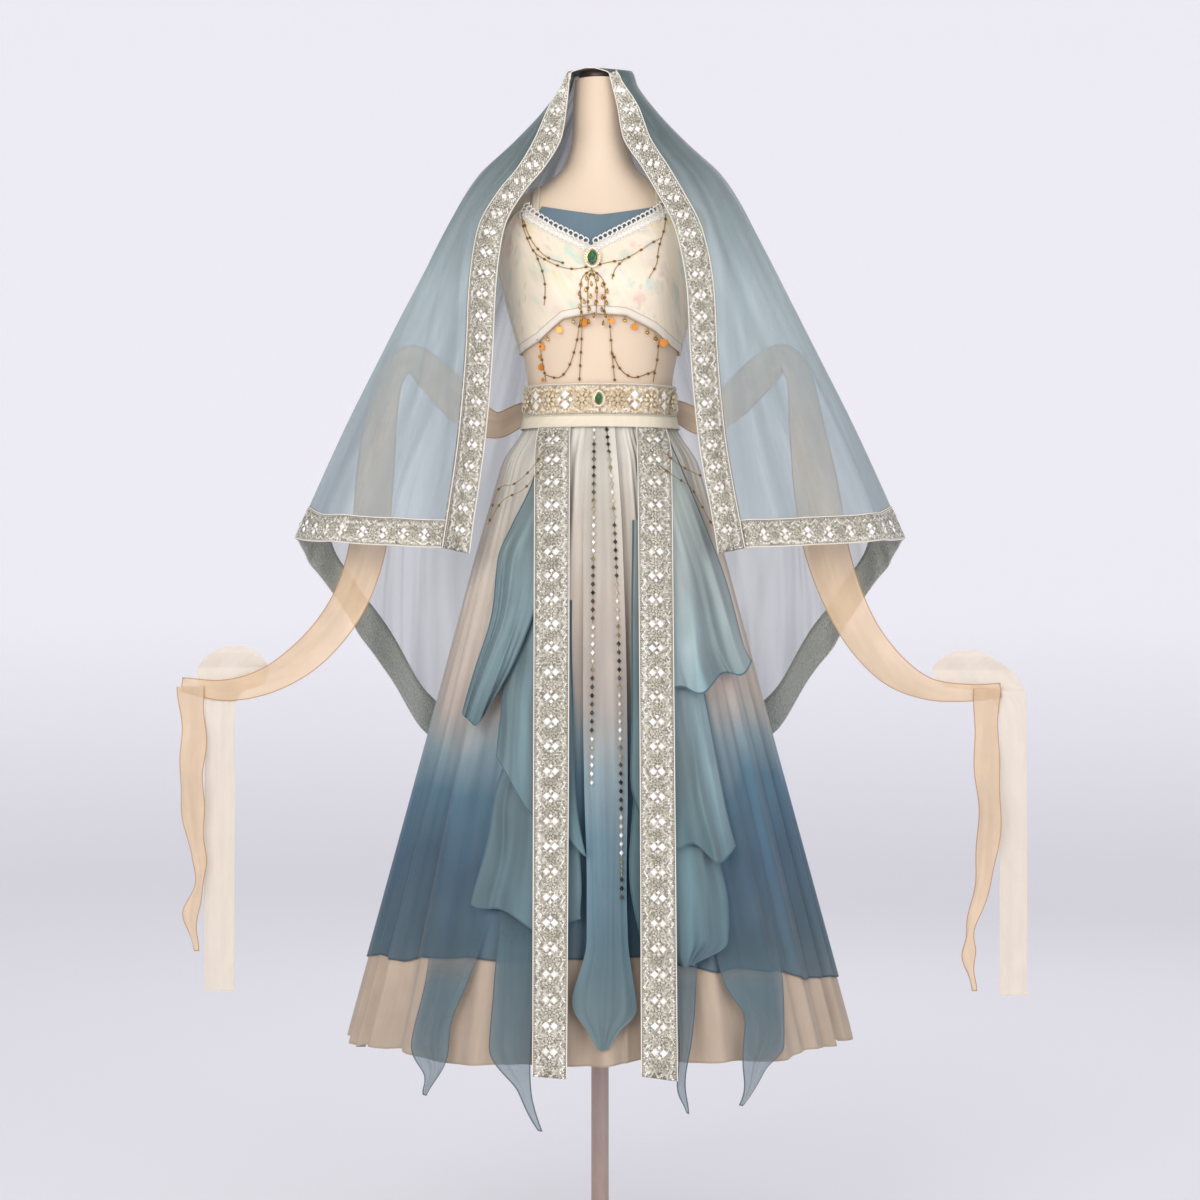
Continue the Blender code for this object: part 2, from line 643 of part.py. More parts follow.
def make_jewels():
    gold = finish("brooch_gold", (206, 178, 120), 0.3, 0.9)
    stone = finish("emerald", (14, 107, 69), 0.1)
    lift = BODICE_LIFT + SATIN + SEAM_GAP
    bust_x, bust_z = BUST_BROOCH
    lowest = np.array([bust_z - BROOCH_HALF_SIZE[1]])
    bust_y = on_torso(np.arcsin([bust_x / torso_axes(BUST_Z)[0]]), lowest, lift, BETWEEN_IN_TOP)[0, 1]
    belt_y = -(BELT_INSIDE[1] + BELT_THICKNESS + SEAM_GAP)
    for spot, (x, z), y, scale in (("bust", BUST_BROOCH, bust_y, 1.0),
                                   ("belt", BELT_BROOCH, belt_y, BELT_BROOCH_SCALE)):
        width, height = np.array(BROOCH_HALF_SIZE) * scale
        jewel("brooch_" + spot, (x, y, z), width, height, BROOCH_DEPTH, 0.25, gold)
        width, height = np.array(STONE_HALF_SIZE) * scale
        jewel("stone_" + spot, (x, y - BROOCH_DEPTH - SEAM_GAP, z), width, height, STONE_DEPTH, 0.45, stone)


# The belt and the waistband

def ring(angle, half_width, half_depth, height):
    """Points of a level ring; the angle is 0 at the front and grows towards +X."""
    x = half_width * np.sin(angle)
    y = -half_depth * np.cos(angle)
    return np.stack([x, y, np.broadcast_to(height, x.shape)], axis=-1)


def make_belt():
    sequins = finish("belt_sequins", (214, 200, 172), 0.4, 0.3)
    plain = finish("waistband_satin", (237, 228, 204), 0.5)
    angle = (np.arange(40) * 2 * pi / 40)[None, :]
    heights = np.array([BELT_BOTTOM, BELT_TOP])[:, None]
    shape = np.ones_like(heights * angle)
    inner = ring(angle * shape, BELT_INSIDE[0] * shape, BELT_INSIDE[1] * shape, heights)
    outer = ring(angle * shape, (BELT_INSIDE[0] + BELT_THICKNESS) * shape,
                 (BELT_INSIDE[1] + BELT_THICKNESS) * shape, heights)
    wall("belt", outer, inner, sequins, closed=True)

    heights = np.array([WAISTBAND_BOTTOM, WAISTBAND_TOP])[:, None]
    front = np.clip((np.cos(angle) + 0.05) / 0.35, 0, 1)
    lift = WAISTBAND_LIFT + WAISTBAND_FRONT_LIFT * front * shape
    half_width, half_depth, _ = skirt_axes(heights)
    inner = ring(angle * shape, half_width + lift, half_depth + lift, heights)
    outer = ring(angle * shape, half_width + lift + SATIN, half_depth + lift + SATIN, heights)
    wall("waistband", outer, inner, plain, closed=True)


# The skirt and its layers

def skirt_axes(heights):
    return tuple(column(SKIRT_SECTIONS, heights, k) for k in (1, 2, 3))


def fold_angles():
    """Angles of the skirt's columns, unevenly spread so that no two folds are the same width."""
    even = np.arange(SKIRT_FOLDS * COLUMNS_PER_FOLD) * 2 * pi / (SKIRT_FOLDS * COLUMNS_PER_FOLD)
    return even + 0.09 * np.sin(3 * even + 0.7) + 0.05 * np.sin(5 * even + 2.1)


def fold_depths():
    """Share of the fold depth at each column: ridge, slope, trough and slope in turn."""
    pattern = np.tile((0.0, 0.5, 1.0, 0.5), SKIRT_FOLDS)
    number = np.repeat(np.arange(SKIRT_FOLDS), COLUMNS_PER_FOLD)
    return pattern * (0.78 + 0.22 * np.sin(2.4 * number + 0.5))


def skirt_grid(heights, inset=0.0):
    """Points of the folded skirt at a grid of heights with one column for each fold angle."""
    angle = np.broadcast_to(fold_angles(), heights.shape)
    half_width, half_depth, fold = skirt_axes(heights)
    inward = fold * fold_depths() + inset
    return ring(angle, half_width - inward, half_depth - inward, heights)


def hem_heights(front, right, back, left):
    """Height of an uneven hem at each fold angle from its four quarter points."""
    angle = fold_angles() % (2 * pi)
    quarters = np.array([front, right, back, left, front])
    return np.interp(angle, np.arange(5) * pi / 2, quarters)


def make_skirt():
    ombre = finish("skirt_chiffon", (112, 142, 158), 0.6)
    lining = finish("lining_chiffon", (207, 192, 172), 0.65)
    columns = SKIRT_FOLDS * COLUMNS_PER_FOLD
    levels = [row[0] for row in SKIRT_SECTIONS[:-1]]
    rows = [np.full(columns, level) for level in levels] + [hem_heights(*SKIRT_HEM)]
    heights = np.array(rows)
    wall("skirt", skirt_grid(heights), skirt_grid(heights, SATIN), ombre, closed=True)
    levels = (UNDERSKIRT_TOP, 1.100, 0.800, UNDERSKIRT_HEM)
    heights = np.array([np.full(columns, level) for level in levels])
    outside = SATIN + LINING_GAP
    inside = outside + CHIFFON
    wall("underskirt", skirt_grid(heights, outside), skirt_grid(heights, inside), lining, closed=True)


def overlay_stations(edges, along):
    """Places along a panel's rows: evenly spread, with one at each bend of the skirt's profile."""
    number = np.arange(len(edges))
    middle = (edges[:, 1] + edges[:, 3]) / 2
    bends = [row[0] for row in SKIRT_SECTIONS if middle[-1] < row[0] < middle[0] - 0.001]
    even = [spot for spot in np.linspace(0, number[-1], along)
            if all(abs(np.interp(spot, number, middle) - bend) > STATION_SPACE for bend in bends)
            or spot in (0, number[-1])]
    fixed = [float(np.interp(-bend, -middle, number)) for bend in bends]
    return np.array(sorted(even + fixed))


def overlay_grid(rows, lifts, across, along, ripple=0.0, ripple_from=0.5, waves=2.0, phase=0.0):
    """Points of a panel on the skirt: the rows give its side edges, and lifts how far it stands
    off the skirt at its top and its hem. Its ripples grow outwards from ripple_from to the hem."""
    edges = np.array(rows)
    spots = overlay_stations(edges, along)
    edges = np.stack([np.interp(spots, np.arange(len(edges)), edges[:, k]) for k in range(4)], axis=1)
    u = np.linspace(0, 1, across)[None, :]
    x = edges[:, 0:1] * (1 - u) + edges[:, 2:3] * u
    z = edges[:, 1:2] * (1 - u) + edges[:, 3:4] * u
    v = (spots / spots[-1])[:, None]
    stand = lifts[0] + (lifts[1] - lifts[0]) * v
    growth = np.clip((v - ripple_from) / (1 - ripple_from), 0, 1)
    width = np.abs(edges[:, 2:3] - edges[:, 0:1])
    growth = growth * width / width.max()
    stand = stand + ripple * growth * (0.5 + 0.5 * np.cos(2 * pi * waves * u + phase))
    half_width, half_depth, _ = skirt_axes(z)
    y = -(half_depth + stand) * np.sqrt(1 - (x / (half_width + stand)) ** 2)
    return np.stack([x, y, z], axis=-1)


def make_overlays():
    teal = finish("cascade_chiffon", (112, 148, 158), 0.6)
    blue = finish("centre_chiffon", (95, 127, 158), 0.6)
    grey = finish("tail_chiffon", (111, 135, 148), 0.6)
    sequins = finish("band_sequins", (176, 166, 146), 0.4, 0.3)
    beads = finish("bead_gold", (190, 176, 140), 0.3, 0.7)
    front = (0, -1, 0)
    grid = overlay_grid(CENTRE_PANEL, CENTRE_STAND, 5, 13)
    sheet("centre_panel", grid, CHIFFON, blue, facing=front)
    for name, rows, phase in (("tail_left_outer", TAIL_LEFT_OUTER, 0.0),
                              ("tail_left_inner", TAIL_LEFT_INNER, 1.5),
                              ("tail_right_inner", TAIL_RIGHT_INNER, 3.0),
                              ("tail_right_outer", TAIL_RIGHT_OUTER, 4.5)):
        grid = overlay_grid(rows, TAIL_STAND, 5, 9, RIPPLE, 0.4, 1.5, phase)
        sheet(name, grid, CHIFFON, grey, facing=front)
    for side, tiers, waves in (
            ("left", (CASCADE_LEFT_LOW, CASCADE_LEFT_MIDDLE, CASCADE_LEFT_TOP), 1.5),
            ("right", (CASCADE_RIGHT_LOW, CASCADE_RIGHT_MIDDLE, CASCADE_RIGHT_TOP), 2.0)):
        for rows, (level, hem_stand, phase) in zip(tiers, CASCADE_HEM_STANDS):
            stand = (CASCADE_TOP_STAND, hem_stand)
            grid = overlay_grid(rows, stand, 8, 7, RIPPLE, 0.5, waves, phase)
            sheet(f"cascade_{side}_{level}", grid, CHIFFON, teal, facing=front)
    for side, rows in (("left", FRONT_BAND_LEFT), ("right", FRONT_BAND_RIGHT)):
        grid = band_grid(rows)
        sheet("front_band_" + side, grid, TRIM, sequins, facing=front)
    for side, rows in (("left", BEAD_STRIP_LEFT), ("right", BEAD_STRIP_RIGHT)):
        grid = overlay_grid(rows, BEAD_STAND, 2, 13)
        sheet("bead_strip_" + side, grid, CHIFFON, beads, facing=front)


def band_grid(rows):
    """Points of a front band: it leaves the waist close to the cloth and hangs clear of the
    cascades lower down."""
    grid = overlay_grid(rows, (0.0, 0.0), 4, 13)
    x, z = grid[..., 0], grid[..., 2]
    stand = np.interp(z, BAND_HEIGHTS, BAND_STANDS)
    half_width, half_depth, _ = skirt_axes(z)
    grid[..., 1] = -(half_depth + stand) * np.sqrt(1 - (x / (half_width + stand)) ** 2)
    return grid


# The veil

def veil_rows(hem, trim_top):
    """Heights of the veil's rows below the crown for a column with the given hem."""
    upper = [1.8600, 1.8200, 1.7700, 1.7200, VEIL_SHOULDER_Z]
    shares = (0.12, 0.30, 0.50, 0.74)
    lower = [VEIL_SHOULDER_Z + share * (trim_top - VEIL_SHOULDER_Z) for share in shares]
    return upper + lower + [trim_top, hem]


def veil_arc(height, side):
    """The level curve of one side of the veil: back points from the middle, then front points
    from the outer bend to the front edge, with the edging's width kept for the last two spans."""
    read = [float(column(VEIL_SECTIONS, height, k)) for k in range(1, 6)]
    out, edge_left, edge_right, front_y, back_y = read
    edge = edge_right if side > 0 else -edge_left
    alpha = np.linspace(0, pi / 2, VEIL_BACK_CELLS + 1)
    fullness = np.interp(height, (1.10, 1.50, 1.70), (0.016, 0.010, 0.0))
    ripple = np.tile((0.0, 1.0), VEIL_BACK_CELLS)[:VEIL_BACK_CELLS + 1] * np.cos(alpha) ** 0.5
    back = np.stack([out * np.sin(alpha), back_y * np.cos(alpha) + fullness * ripple], axis=-1)
    beta = np.linspace(0, pi / 2, 81)
    curve = np.stack([edge + (out - edge) * np.cos(beta), front_y * np.sin(beta)], axis=-1)
    length = np.concatenate([[0], np.cumsum(np.linalg.norm(np.diff(curve, axis=0), axis=1))])
    trim = min(VEIL_TRIM_WIDTH, 0.6 * length[-1])
    stations = np.linspace(0, length[-1] - trim, VEIL_FRONT_CELLS + 1)[1:]
    stations = np.append(stations, [length[-1] - trim / 2, length[-1]])
    front = np.stack([np.interp(stations, length, curve[:, k]) for k in (0, 1)], axis=-1)
    soft = np.interp(height, (1.15, 1.50, 1.70), (0.008, 0.004, 0.0))
    front[:VEIL_FRONT_CELLS, 1] -= soft * np.array([0.3, 1.0, 0.2, 0.8])
    return np.concatenate([back, front]) * (side, 1)


def veil_hems():
    """Hem height and edging height for each column of one side, from the back's middle."""
    alpha = np.linspace(0, pi / 2, VEIL_BACK_CELLS + 1)
    out = VEIL_SECTIONS[9][1]
    x = out * np.sin(alpha)
    slope = (VEIL_CORNER_HEM - VEIL_BACK_HEM - 0.012) / (out - VEIL_BACK_CORNER_X)
    hem = np.where(x > VEIL_BACK_CORNER_X, VEIL_CORNER_HEM - (out - x) * slope,
                   VEIL_BACK_HEM + 0.012 * x / VEIL_BACK_CORNER_X)
    rise = np.interp(x, (0.20, 0.32, out - 0.02, out), (0.045, 0.080, 0.070, 0.052))
    front = np.linspace(0, 1, VEIL_FRONT_CELLS + 3)[1:]
    front_hem = VEIL_CORNER_HEM + (VEIL_FRONT_HEM - VEIL_CORNER_HEM) * front
    hem = np.concatenate([hem, front_hem])
    rise = np.concatenate([rise, np.full(len(front), VEIL_TRIM_WIDTH)])
    return hem, hem + rise


def veil_grid():
    """Points of the whole veil: columns run from the left front edge round the back to the right
    front edge, rows from the crown down."""
    hems, trims = veil_hems()
    sides = []
    for side in (-1, 1):
        columns = []
        for j, (hem, trim_top) in enumerate(zip(hems, trims)):
            heights = veil_rows(hem, trim_top)
            columns.append([(*veil_arc(height, side)[j], height) for height in heights])
        sides.append(np.array(columns).transpose(1, 0, 2))
    left, right = sides
    body = np.concatenate([left[:, :0:-1], right], axis=1)
    count = body.shape[1]
    second = body[0].copy()
    second[:, :2] = np.concatenate([veil_arc(VEIL_SECTIONS[0][0], -1)[:0:-1],
                                    veil_arc(VEIL_SECTIONS[0][0], 1)])
    number = np.abs(np.arange(count) - (count - 1) / 2) / ((count - 1) / 2)
    second[:, 2] = CROWN_Z - CROWN_DROP * np.clip((number - 0.7) / 0.3, 0, 1)
    first = second.copy()
    first[:, :2] = CROWN_FRONT + CROWN_NOTCH * (second[:, :2] - CROWN_FRONT)
    first[:, 2] = CROWN_Z
    return np.concatenate([first[None], second[None], body])


def make_veil():
    sheer = finish("veil_chiffon", (143, 163, 174), 0.5)
    sequins = finish("veil_sequins", (168, 159, 138), 0.4, 0.3)
    grid = veil_grid()
    normals = grid_normals(grid)
    sheet("veil", grid - normals * (VEIL_SHEET / 2), VEIL_SHEET, sheer, normals=normals)
    lift = VEIL_SHEET / 2 + SEAM_GAP
    bend = VEIL_FRONT_CELLS + 2
    last = grid.shape[1] - 1

    def edging(name, rows, columns, seams):
        part = grid[rows, columns]
        for seam in seams:
            part = shorten(part, seam, SEAM_GAP)
        sheet(name, part, TRIM, sequins, lift, normals[rows, columns])

    every = slice(1, None)
    hem = slice(-2, None)
    edging("veil_trim_front_left", every, slice(0, 3), ())
    edging("veil_trim_front_right", every, slice(last - 2, last + 1), ())
    edging("veil_trim_end_left", hem, slice(2, bend + 1), ("first_column",))
    edging("veil_trim_end_right", hem, slice(last - bend, last - 1), ("last_column",))
    edging("veil_trim_back", hem, slice(bend, last - bend + 1), ("first_column", "last_column"))


# The arm sash

def ribbon(rows, sections, creases):
    """Points of a ribbon along a smooth path that faces the front, with soft creases across."""
    path = smooth_path(rows, sections)
    centre = path[:, :3]
    along = np.gradient(centre, axis=0)
    across = np.cross(along, (0.0, -1.0, 0.0))
    across /= np.linalg.norm(across, axis=1, keepdims=True)
    spots = np.linspace(-1, 1, len(creases))
    grid = centre[:, None, :] + across[:, None, :] * (spots[None, :, None] * path[:, 3][:, None, None])
    number = np.arange(sections)
    fade = np.clip((number - 2) / 3, 0, 1) * np.clip((0.78 * sections - number) / 4, 0, 1)
    fade = fade * np.clip(path[:, 3] / 0.028, 0, 1)
    grid[..., 1] += np.array(creases)[None, :] * fade[:, None]
    return grid


def hanging(rows, sections, creases, plane):
    """Points of a hanging strip with the given rows of x, y, z and half width."""
    path = smooth_path(rows, sections)
    spots = np.linspace(-1, 1, len(creases))
    x = path[:, 0:1] + spots * path[:, 3:4]
    fade = np.clip((np.arange(sections) - 2) / 2, 0, 1)[:, None]
    fullness = np.abs(path[:, 3:4]) / np.abs(path[:, 3]).max()
    y = plane + path[:, 1:2] * fade + np.array(creases) * fade * fullness
    z = np.broadcast_to(path[:, 2:3], x.shape)
    return np.stack([x, y, z], axis=-1)


def make_sash():
    tan = finish("sash_chiffon", (217, 188, 149), 0.6)
    pale = finish("sash_pale", (233, 217, 195), 0.6)
    front = (0, -1, 0)
    half_width, half_depth = np.array(BELT_INSIDE) + BELT_THICKNESS + SASH_LIFT
    angle = np.linspace(SASH_LEAVES_AT, 2 * pi - SASH_LEAVES_AT, 15)[None, :]
    heights = np.array(SASH_BACK_HEIGHTS)[:, None]
    shape = np.ones_like(heights * angle)
    sheet("sash_back", ring(angle * shape, half_width * shape, half_depth * shape, heights), CHIFFON, tan)

    height, start_width = SASH_START
    leave = ring(np.array([SASH_LEAVES_AT]), half_width, half_depth, height)[0]
    before = SASH_PLANE_Y - CHIFFON - SEAM_GAP
    behind = SASH_PLANE_Y + CHIFFON + SEAM_GAP
    for side, word, arm, end, fold in (
            (-1, "left", SASH_ARM_LEFT, SASH_END_LEFT, SASH_FOLD_LEFT),
            (1, "right", SASH_ARM_RIGHT, SASH_END_RIGHT, SASH_FOLD_RIGHT)):
        start = (side * (leave[0] + CHIFFON), leave[1] - SEAM_GAP, leave[2], start_width)
        grid = ribbon((start,) + arm, 29, SASH_ARM_CREASES)
        sheet("sash_arm_" + word, grid, CHIFFON, tan, lift=-CHIFFON / 2, facing=front)
        grid = hanging(end, 15, SASH_END_CREASES, before)
        sheet("sash_end_" + word, grid, CHIFFON, tan, lift=-CHIFFON / 2, facing=front)
        grid = hanging(fold, 15, SASH_FOLD_CREASES, behind)
        sheet("sash_fold_" + word, grid, CHIFFON, pale, lift=-CHIFFON / 2, facing=front)


def build_model():
    remove_objects()
    make_form()
    make_bodice()
    make_jewels()
    make_belt()
    make_skirt()
    make_overlays()
    make_veil()
    make_sash()


build_model()
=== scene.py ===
"""The looks of a dance hanfu set on a limbless dress form: cropped top, belt, gathered skirt with
cascades and trimmed bands, sheer veil and arm sash. Metres, +Z up, the front faces -Y. Left and
right are the viewer's, so left is -X. The tables of sizes are those of the solid parts.
"""

import bpy
import numpy as np
from math import asin, atan, cos, pi, radians, sin
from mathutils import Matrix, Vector


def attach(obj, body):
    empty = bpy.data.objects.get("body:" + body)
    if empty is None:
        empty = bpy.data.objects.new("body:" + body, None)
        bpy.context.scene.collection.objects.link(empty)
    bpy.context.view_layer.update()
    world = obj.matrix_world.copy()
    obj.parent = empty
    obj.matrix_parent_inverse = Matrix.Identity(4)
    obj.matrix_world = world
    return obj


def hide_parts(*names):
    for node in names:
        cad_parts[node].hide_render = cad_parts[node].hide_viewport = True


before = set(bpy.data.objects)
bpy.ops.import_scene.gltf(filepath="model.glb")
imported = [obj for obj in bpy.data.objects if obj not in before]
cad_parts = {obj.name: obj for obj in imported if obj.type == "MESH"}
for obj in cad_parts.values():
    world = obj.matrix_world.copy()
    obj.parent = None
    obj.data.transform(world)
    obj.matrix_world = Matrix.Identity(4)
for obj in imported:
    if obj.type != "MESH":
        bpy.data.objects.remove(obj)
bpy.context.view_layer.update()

# Dress form: height, half width, half depth
TORSO_SECTIONS = (
    (1.8700, 0.0400, 0.0430),
    (1.8300, 0.0435, 0.0465),
    (1.7750, 0.0440, 0.0480),
    (1.7300, 0.0560, 0.0540),
    (1.7020, 0.0900, 0.0590),
    (1.6800, 0.1380, 0.0650),
    (1.6550, 0.1700, 0.0750),
    (1.6200, 0.1740, 0.0860),
    (1.5700, 0.1600, 0.0960),
    (1.5350, 0.1500, 0.1000),
    (1.4900, 0.1390, 0.0970),
    (1.4400, 0.1250, 0.0900),
    (1.3900, 0.1155, 0.0850),
    (1.3300, 0.1145, 0.0845),
    (1.3050, 0.1165, 0.0865),
    (1.2800, 0.1280, 0.0960),
    (1.2200, 0.1420, 0.1080),
    (1.1200, 0.1480, 0.1120),
    (1.0600, 0.1380, 0.1020),
    (1.0400, 0.1200, 0.0880),
)
BUST_X = 0.072
BUST_Z = 1.535
BUST_SPREAD_X = 0.046
BUST_SPREAD_Z = 0.052
BUST_RISE = 0.022
BETWEEN_ON_FORM = 0.062
BETWEEN_UNDER_TOP = 0.080
BETWEEN_IN_TOP = 0.120
NECK_TOP = 1.8704
CAP_TOP = 1.8831
CAP_RADIUS = 0.033
POLE_RADIUS = 0.0140
BASE_RADIUS = 0.200
BASE_HEIGHT = 0.016
SEAM_GAP = 0.0004

# Top: x across the front, height of its upper edge and of its hem
BODICE_EDGES = (
    (-0.148, 1.5850, 1.4320),
    (-0.135, 1.6120, 1.4380),
    (-0.110, 1.6640, 1.4480),
    (-0.062, 1.6270, 1.4800),
    (-0.012, 1.5950, 1.4880),
    (0.042, 1.6300, 1.4850),
    (0.094, 1.6640, 1.4640),
    (0.130, 1.6150, 1.4420),
    (0.148, 1.5850, 1.4340),
)
BODICE_LIFT = 0.0042
BODICE_BACK_TOP = 1.530
SATIN = 0.0020
CHIFFON = 0.0012
TRIM = 0.0014
BUST_BROOCH = (-0.012, 1.574)
BELT_BROOCH = (-0.002, 1.356)
BROOCH_FOOT = 0.018
ON_TOP = BODICE_LIFT + SATIN
TOP_SHELL = 0.0016
NECK_GATHERS_Z = 1.56
LACE_WIDTH = 0.016
PANEL_ENDS = (-0.084, 0.078)
PANEL_TOP = 1.646
PANEL_RISE = 0.014
PANEL_DROP = 0.058
PANEL_LIFT = 0.0018
STRAP_HALF_WIDTH = 0.006
STRAP_CENTRE_Z = 1.600
STRAP_SEAT = 0.0072
STRAP_LIFT = 0.0032
STRAP_TUCK = 0.018

# Belt and waistband
BELT_BOTTOM = 1.3302
BELT_TOP = 1.3796
BELT_OUTSIDE = (0.1215, 0.0915)
BELT_THICKNESS = 0.0028
WAISTBAND_BOTTOM = 1.3118
WAISTBAND_TOP = 1.3296

# Trims: length of one repeat, width of a sequin, radius of a rosette and half width of a crystal
BELT_TRIM = (0.0560, 0.0029, 0.0135, 0.0078)
BAND_TRIM = (0.0386, 0.0027, 0.0082, 0.0062)
VEIL_TRIM = (0.0340, 0.0027, 0.0070, 0.0054)
PIPING_RADIUS = 0.0009
EDGE_BEAD_RADIUS = 0.0009
EDGE_BEAD_PITCH = 0.0034
# How far their sewn pieces lie over the cloth
SEQUIN_LIFT = 0.0006
EDGE_BEAD_LIFT = 0.0007
STONE_LIFT = 0.0012
MIDDLE_LIFT = 0.0034

# Skirt: height, half width, half depth at the ridges, and depth of the folds
SKIRT_SECTIONS = (
    (1.3720, 0.1180, 0.0880, 0.0000),
    (1.3250, 0.1180, 0.0880, 0.0000),
    (1.3080, 0.1240, 0.0930, 0.0030),
    (1.2640, 0.1560, 0.1180, 0.0080),
    (1.1000, 0.2030, 0.1590, 0.0140),
    (0.8000, 0.2840, 0.2220, 0.0230),
    (0.3400, 0.4100, 0.3170, 0.0360),
)
SKIRT_FOLDS = 26
SKIRT_HEM = (0.505, 0.433, 0.450, 0.474)
UNDERSKIRT_TOP = 1.200
UNDERSKIRT_HEM = 0.345
UNDERSKIRT_INSET = 0.0034

# Overlays on the skirt: left x and z, right x and z, a row from the top edge to the hem
CENTRE_PANEL = (
    (-0.020, 1.325, 0.022, 1.325),
    (-0.026, 1.150, 0.034, 1.150),
    (-0.026, 0.900, 0.041, 0.900),
    (-0.024, 0.760, 0.042, 0.760),
    (-0.020, 0.620, 0.040, 0.620),
    (-0.020, 0.530, 0.042, 0.530),
    (-0.042, 0.440, 0.055, 0.430),
    (-0.018, 0.395, 0.028, 0.395),
    (-0.004, 0.370, 0.012, 0.370),
)
CASCADES = {
    "left_top": ((-0.088, 1.325, -0.050, 1.325), (-0.105, 1.230, -0.053, 1.230),
                 (-0.137, 1.157, -0.062, 1.156), (-0.161, 1.102, -0.085, 1.102),
                 (-0.171, 1.017, -0.103, 1.017), (-0.189, 0.939, -0.128, 0.940),
                 (-0.212, 0.851, -0.172, 0.852)),
    "left_middle": ((-0.124, 1.040, -0.043, 1.040), (-0.136, 0.963, -0.043, 0.948),
                    (-0.154, 0.886, -0.040, 0.827), (-0.153, 0.833, -0.033, 0.737),
                    (-0.162, 0.777, -0.024, 0.645)),
    "left_low": ((-0.135, 0.826, -0.038, 0.760), (-0.153, 0.768, -0.033, 0.690),
                 (-0.172, 0.685, -0.030, 0.604), (-0.192, 0.572, -0.025, 0.538)),
    "right_top": ((0.058, 1.325, 0.096, 1.325), (0.062, 1.195, 0.157, 1.181),
                  (0.069, 1.102, 0.191, 1.087), (0.084, 0.979, 0.220, 0.993),
                  (0.104, 0.887, 0.239, 0.933)),
    "right_middle": ((0.050, 1.164, 0.117, 1.165), (0.049, 1.040, 0.136, 1.009),
                     (0.046, 0.887, 0.163, 0.886), (0.049, 0.767, 0.190, 0.749),
                     (0.060, 0.685, 0.204, 0.641)),
    "right_low": ((0.055, 0.797, 0.153, 0.795), (0.048, 0.707, 0.175, 0.675),
                  (0.045, 0.619, 0.193, 0.585), (0.060, 0.531, 0.193, 0.526),
                  (0.114, 0.493, 0.150, 0.487)),
}
CASCADE_STANDS = {"low": (0.0075, 0.5), "middle": (0.0120, 2.5), "top": (0.0180, 1.2)}
# Creases of the overlays: place across at the top and at the hem, where they start, spread, depth
CENTRE_CREASES = ((0.16, 0.24, 0.0, 0.05, 0.0085), (0.42, 0.48, 0.1, 0.08, 0.0110),
                  (0.68, 0.60, 0.0, 0.04, 0.0070), (0.88, 0.80, 0.2, 0.06, 0.0095))
TAIL_CREASES = ((0.30, 0.40, 0.1, 0.07, 0.0030), (0.62, 0.55, 0.3, 0.05, 0.0022),
                (0.85, 0.70, 0.0, 0.06, 0.0026))
CASCADE_CREASES = {
    "left_top": ((0.10, 0.12, 0.25, 0.05, 0.0050), (0.34, 0.30, 0.10, 0.09, 0.0080),
                 (0.60, 0.66, 0.35, 0.06, 0.0050), (0.82, 0.90, 0.05, 0.05, 0.0040)),
    "left_middle": ((0.14, 0.08, 0.15, 0.06, 0.0060), (0.36, 0.24, 0.05, 0.10, 0.0075),
                    (0.62, 0.52, 0.30, 0.05, 0.0045), (0.84, 0.74, 0.10, 0.08, 0.0060)),
    "left_low": ((0.10, 0.18, 0.05, 0.05, 0.0045), (0.30, 0.42, 0.20, 0.09, 0.0070),
                 (0.58, 0.60, 0.05, 0.06, 0.0040), (0.86, 0.80, 0.25, 0.07, 0.0055)),
    "right_top": ((0.18, 0.26, 0.10, 0.07, 0.0060), (0.42, 0.48, 0.25, 0.10, 0.0085),
                  (0.66, 0.72, 0.40, 0.05, 0.0045), (0.86, 0.90, 0.15, 0.06, 0.0065)),
    "right_middle": ((0.20, 0.16, 0.20, 0.06, 0.0050), (0.48, 0.44, 0.05, 0.09, 0.0080),
                     (0.72, 0.78, 0.30, 0.07, 0.0060), (0.90, 0.92, 0.10, 0.04, 0.0040)),
    "right_low": ((0.16, 0.30, 0.10, 0.05, 0.0045), (0.42, 0.46, 0.05, 0.08, 0.0070),
                  (0.64, 0.60, 0.30, 0.05, 0.0045), (0.86, 0.74, 0.10, 0.07, 0.0060)),
}
TAILS = {
    "left_outer": ((-0.255, 0.560, -0.163, 0.560), (-0.268, 0.455, -0.199, 0.460),
                   (-0.285, 0.361, -0.226, 0.393), (-0.270, 0.322, -0.236, 0.340),
                   (-0.262, 0.292, -0.256, 0.291)),
    "left_inner": ((-0.172, 0.620, -0.066, 0.620), (-0.151, 0.550, -0.096, 0.550),
                   (-0.159, 0.465, -0.099, 0.467), (-0.170, 0.370, -0.104, 0.384),
                   (-0.118, 0.305, -0.098, 0.315), (-0.092, 0.250, -0.085, 0.249)),
    "right_inner": ((0.105, 0.560, 0.151, 0.560), (0.111, 0.471, 0.144, 0.470),
                    (0.115, 0.370, 0.137, 0.376), (0.119, 0.311, 0.131, 0.318),
                    (0.122, 0.276, 0.127, 0.273)),
    "right_outer": ((0.165, 0.560, 0.262, 0.560), (0.186, 0.461, 0.279, 0.454),
                    (0.220, 0.400, 0.283, 0.366), (0.214, 0.330, 0.246, 0.330),
                    (0.207, 0.282, 0.213, 0.280)),
}
FRONT_BANDS = {
    "left": ((-0.094, 1.325, -0.046, 1.325), (-0.102, 1.264, -0.047, 1.264),
             (-0.101, 0.887, -0.047, 0.887), (-0.100, 0.334, -0.049, 0.331)),
    "right": ((0.056, 1.325, 0.100, 1.325), (0.058, 1.264, 0.112, 1.264),
              (0.060, 0.887, 0.113, 0.887), (0.061, 0.335, 0.115, 0.326)),
}
BAND_REACH = 0.118
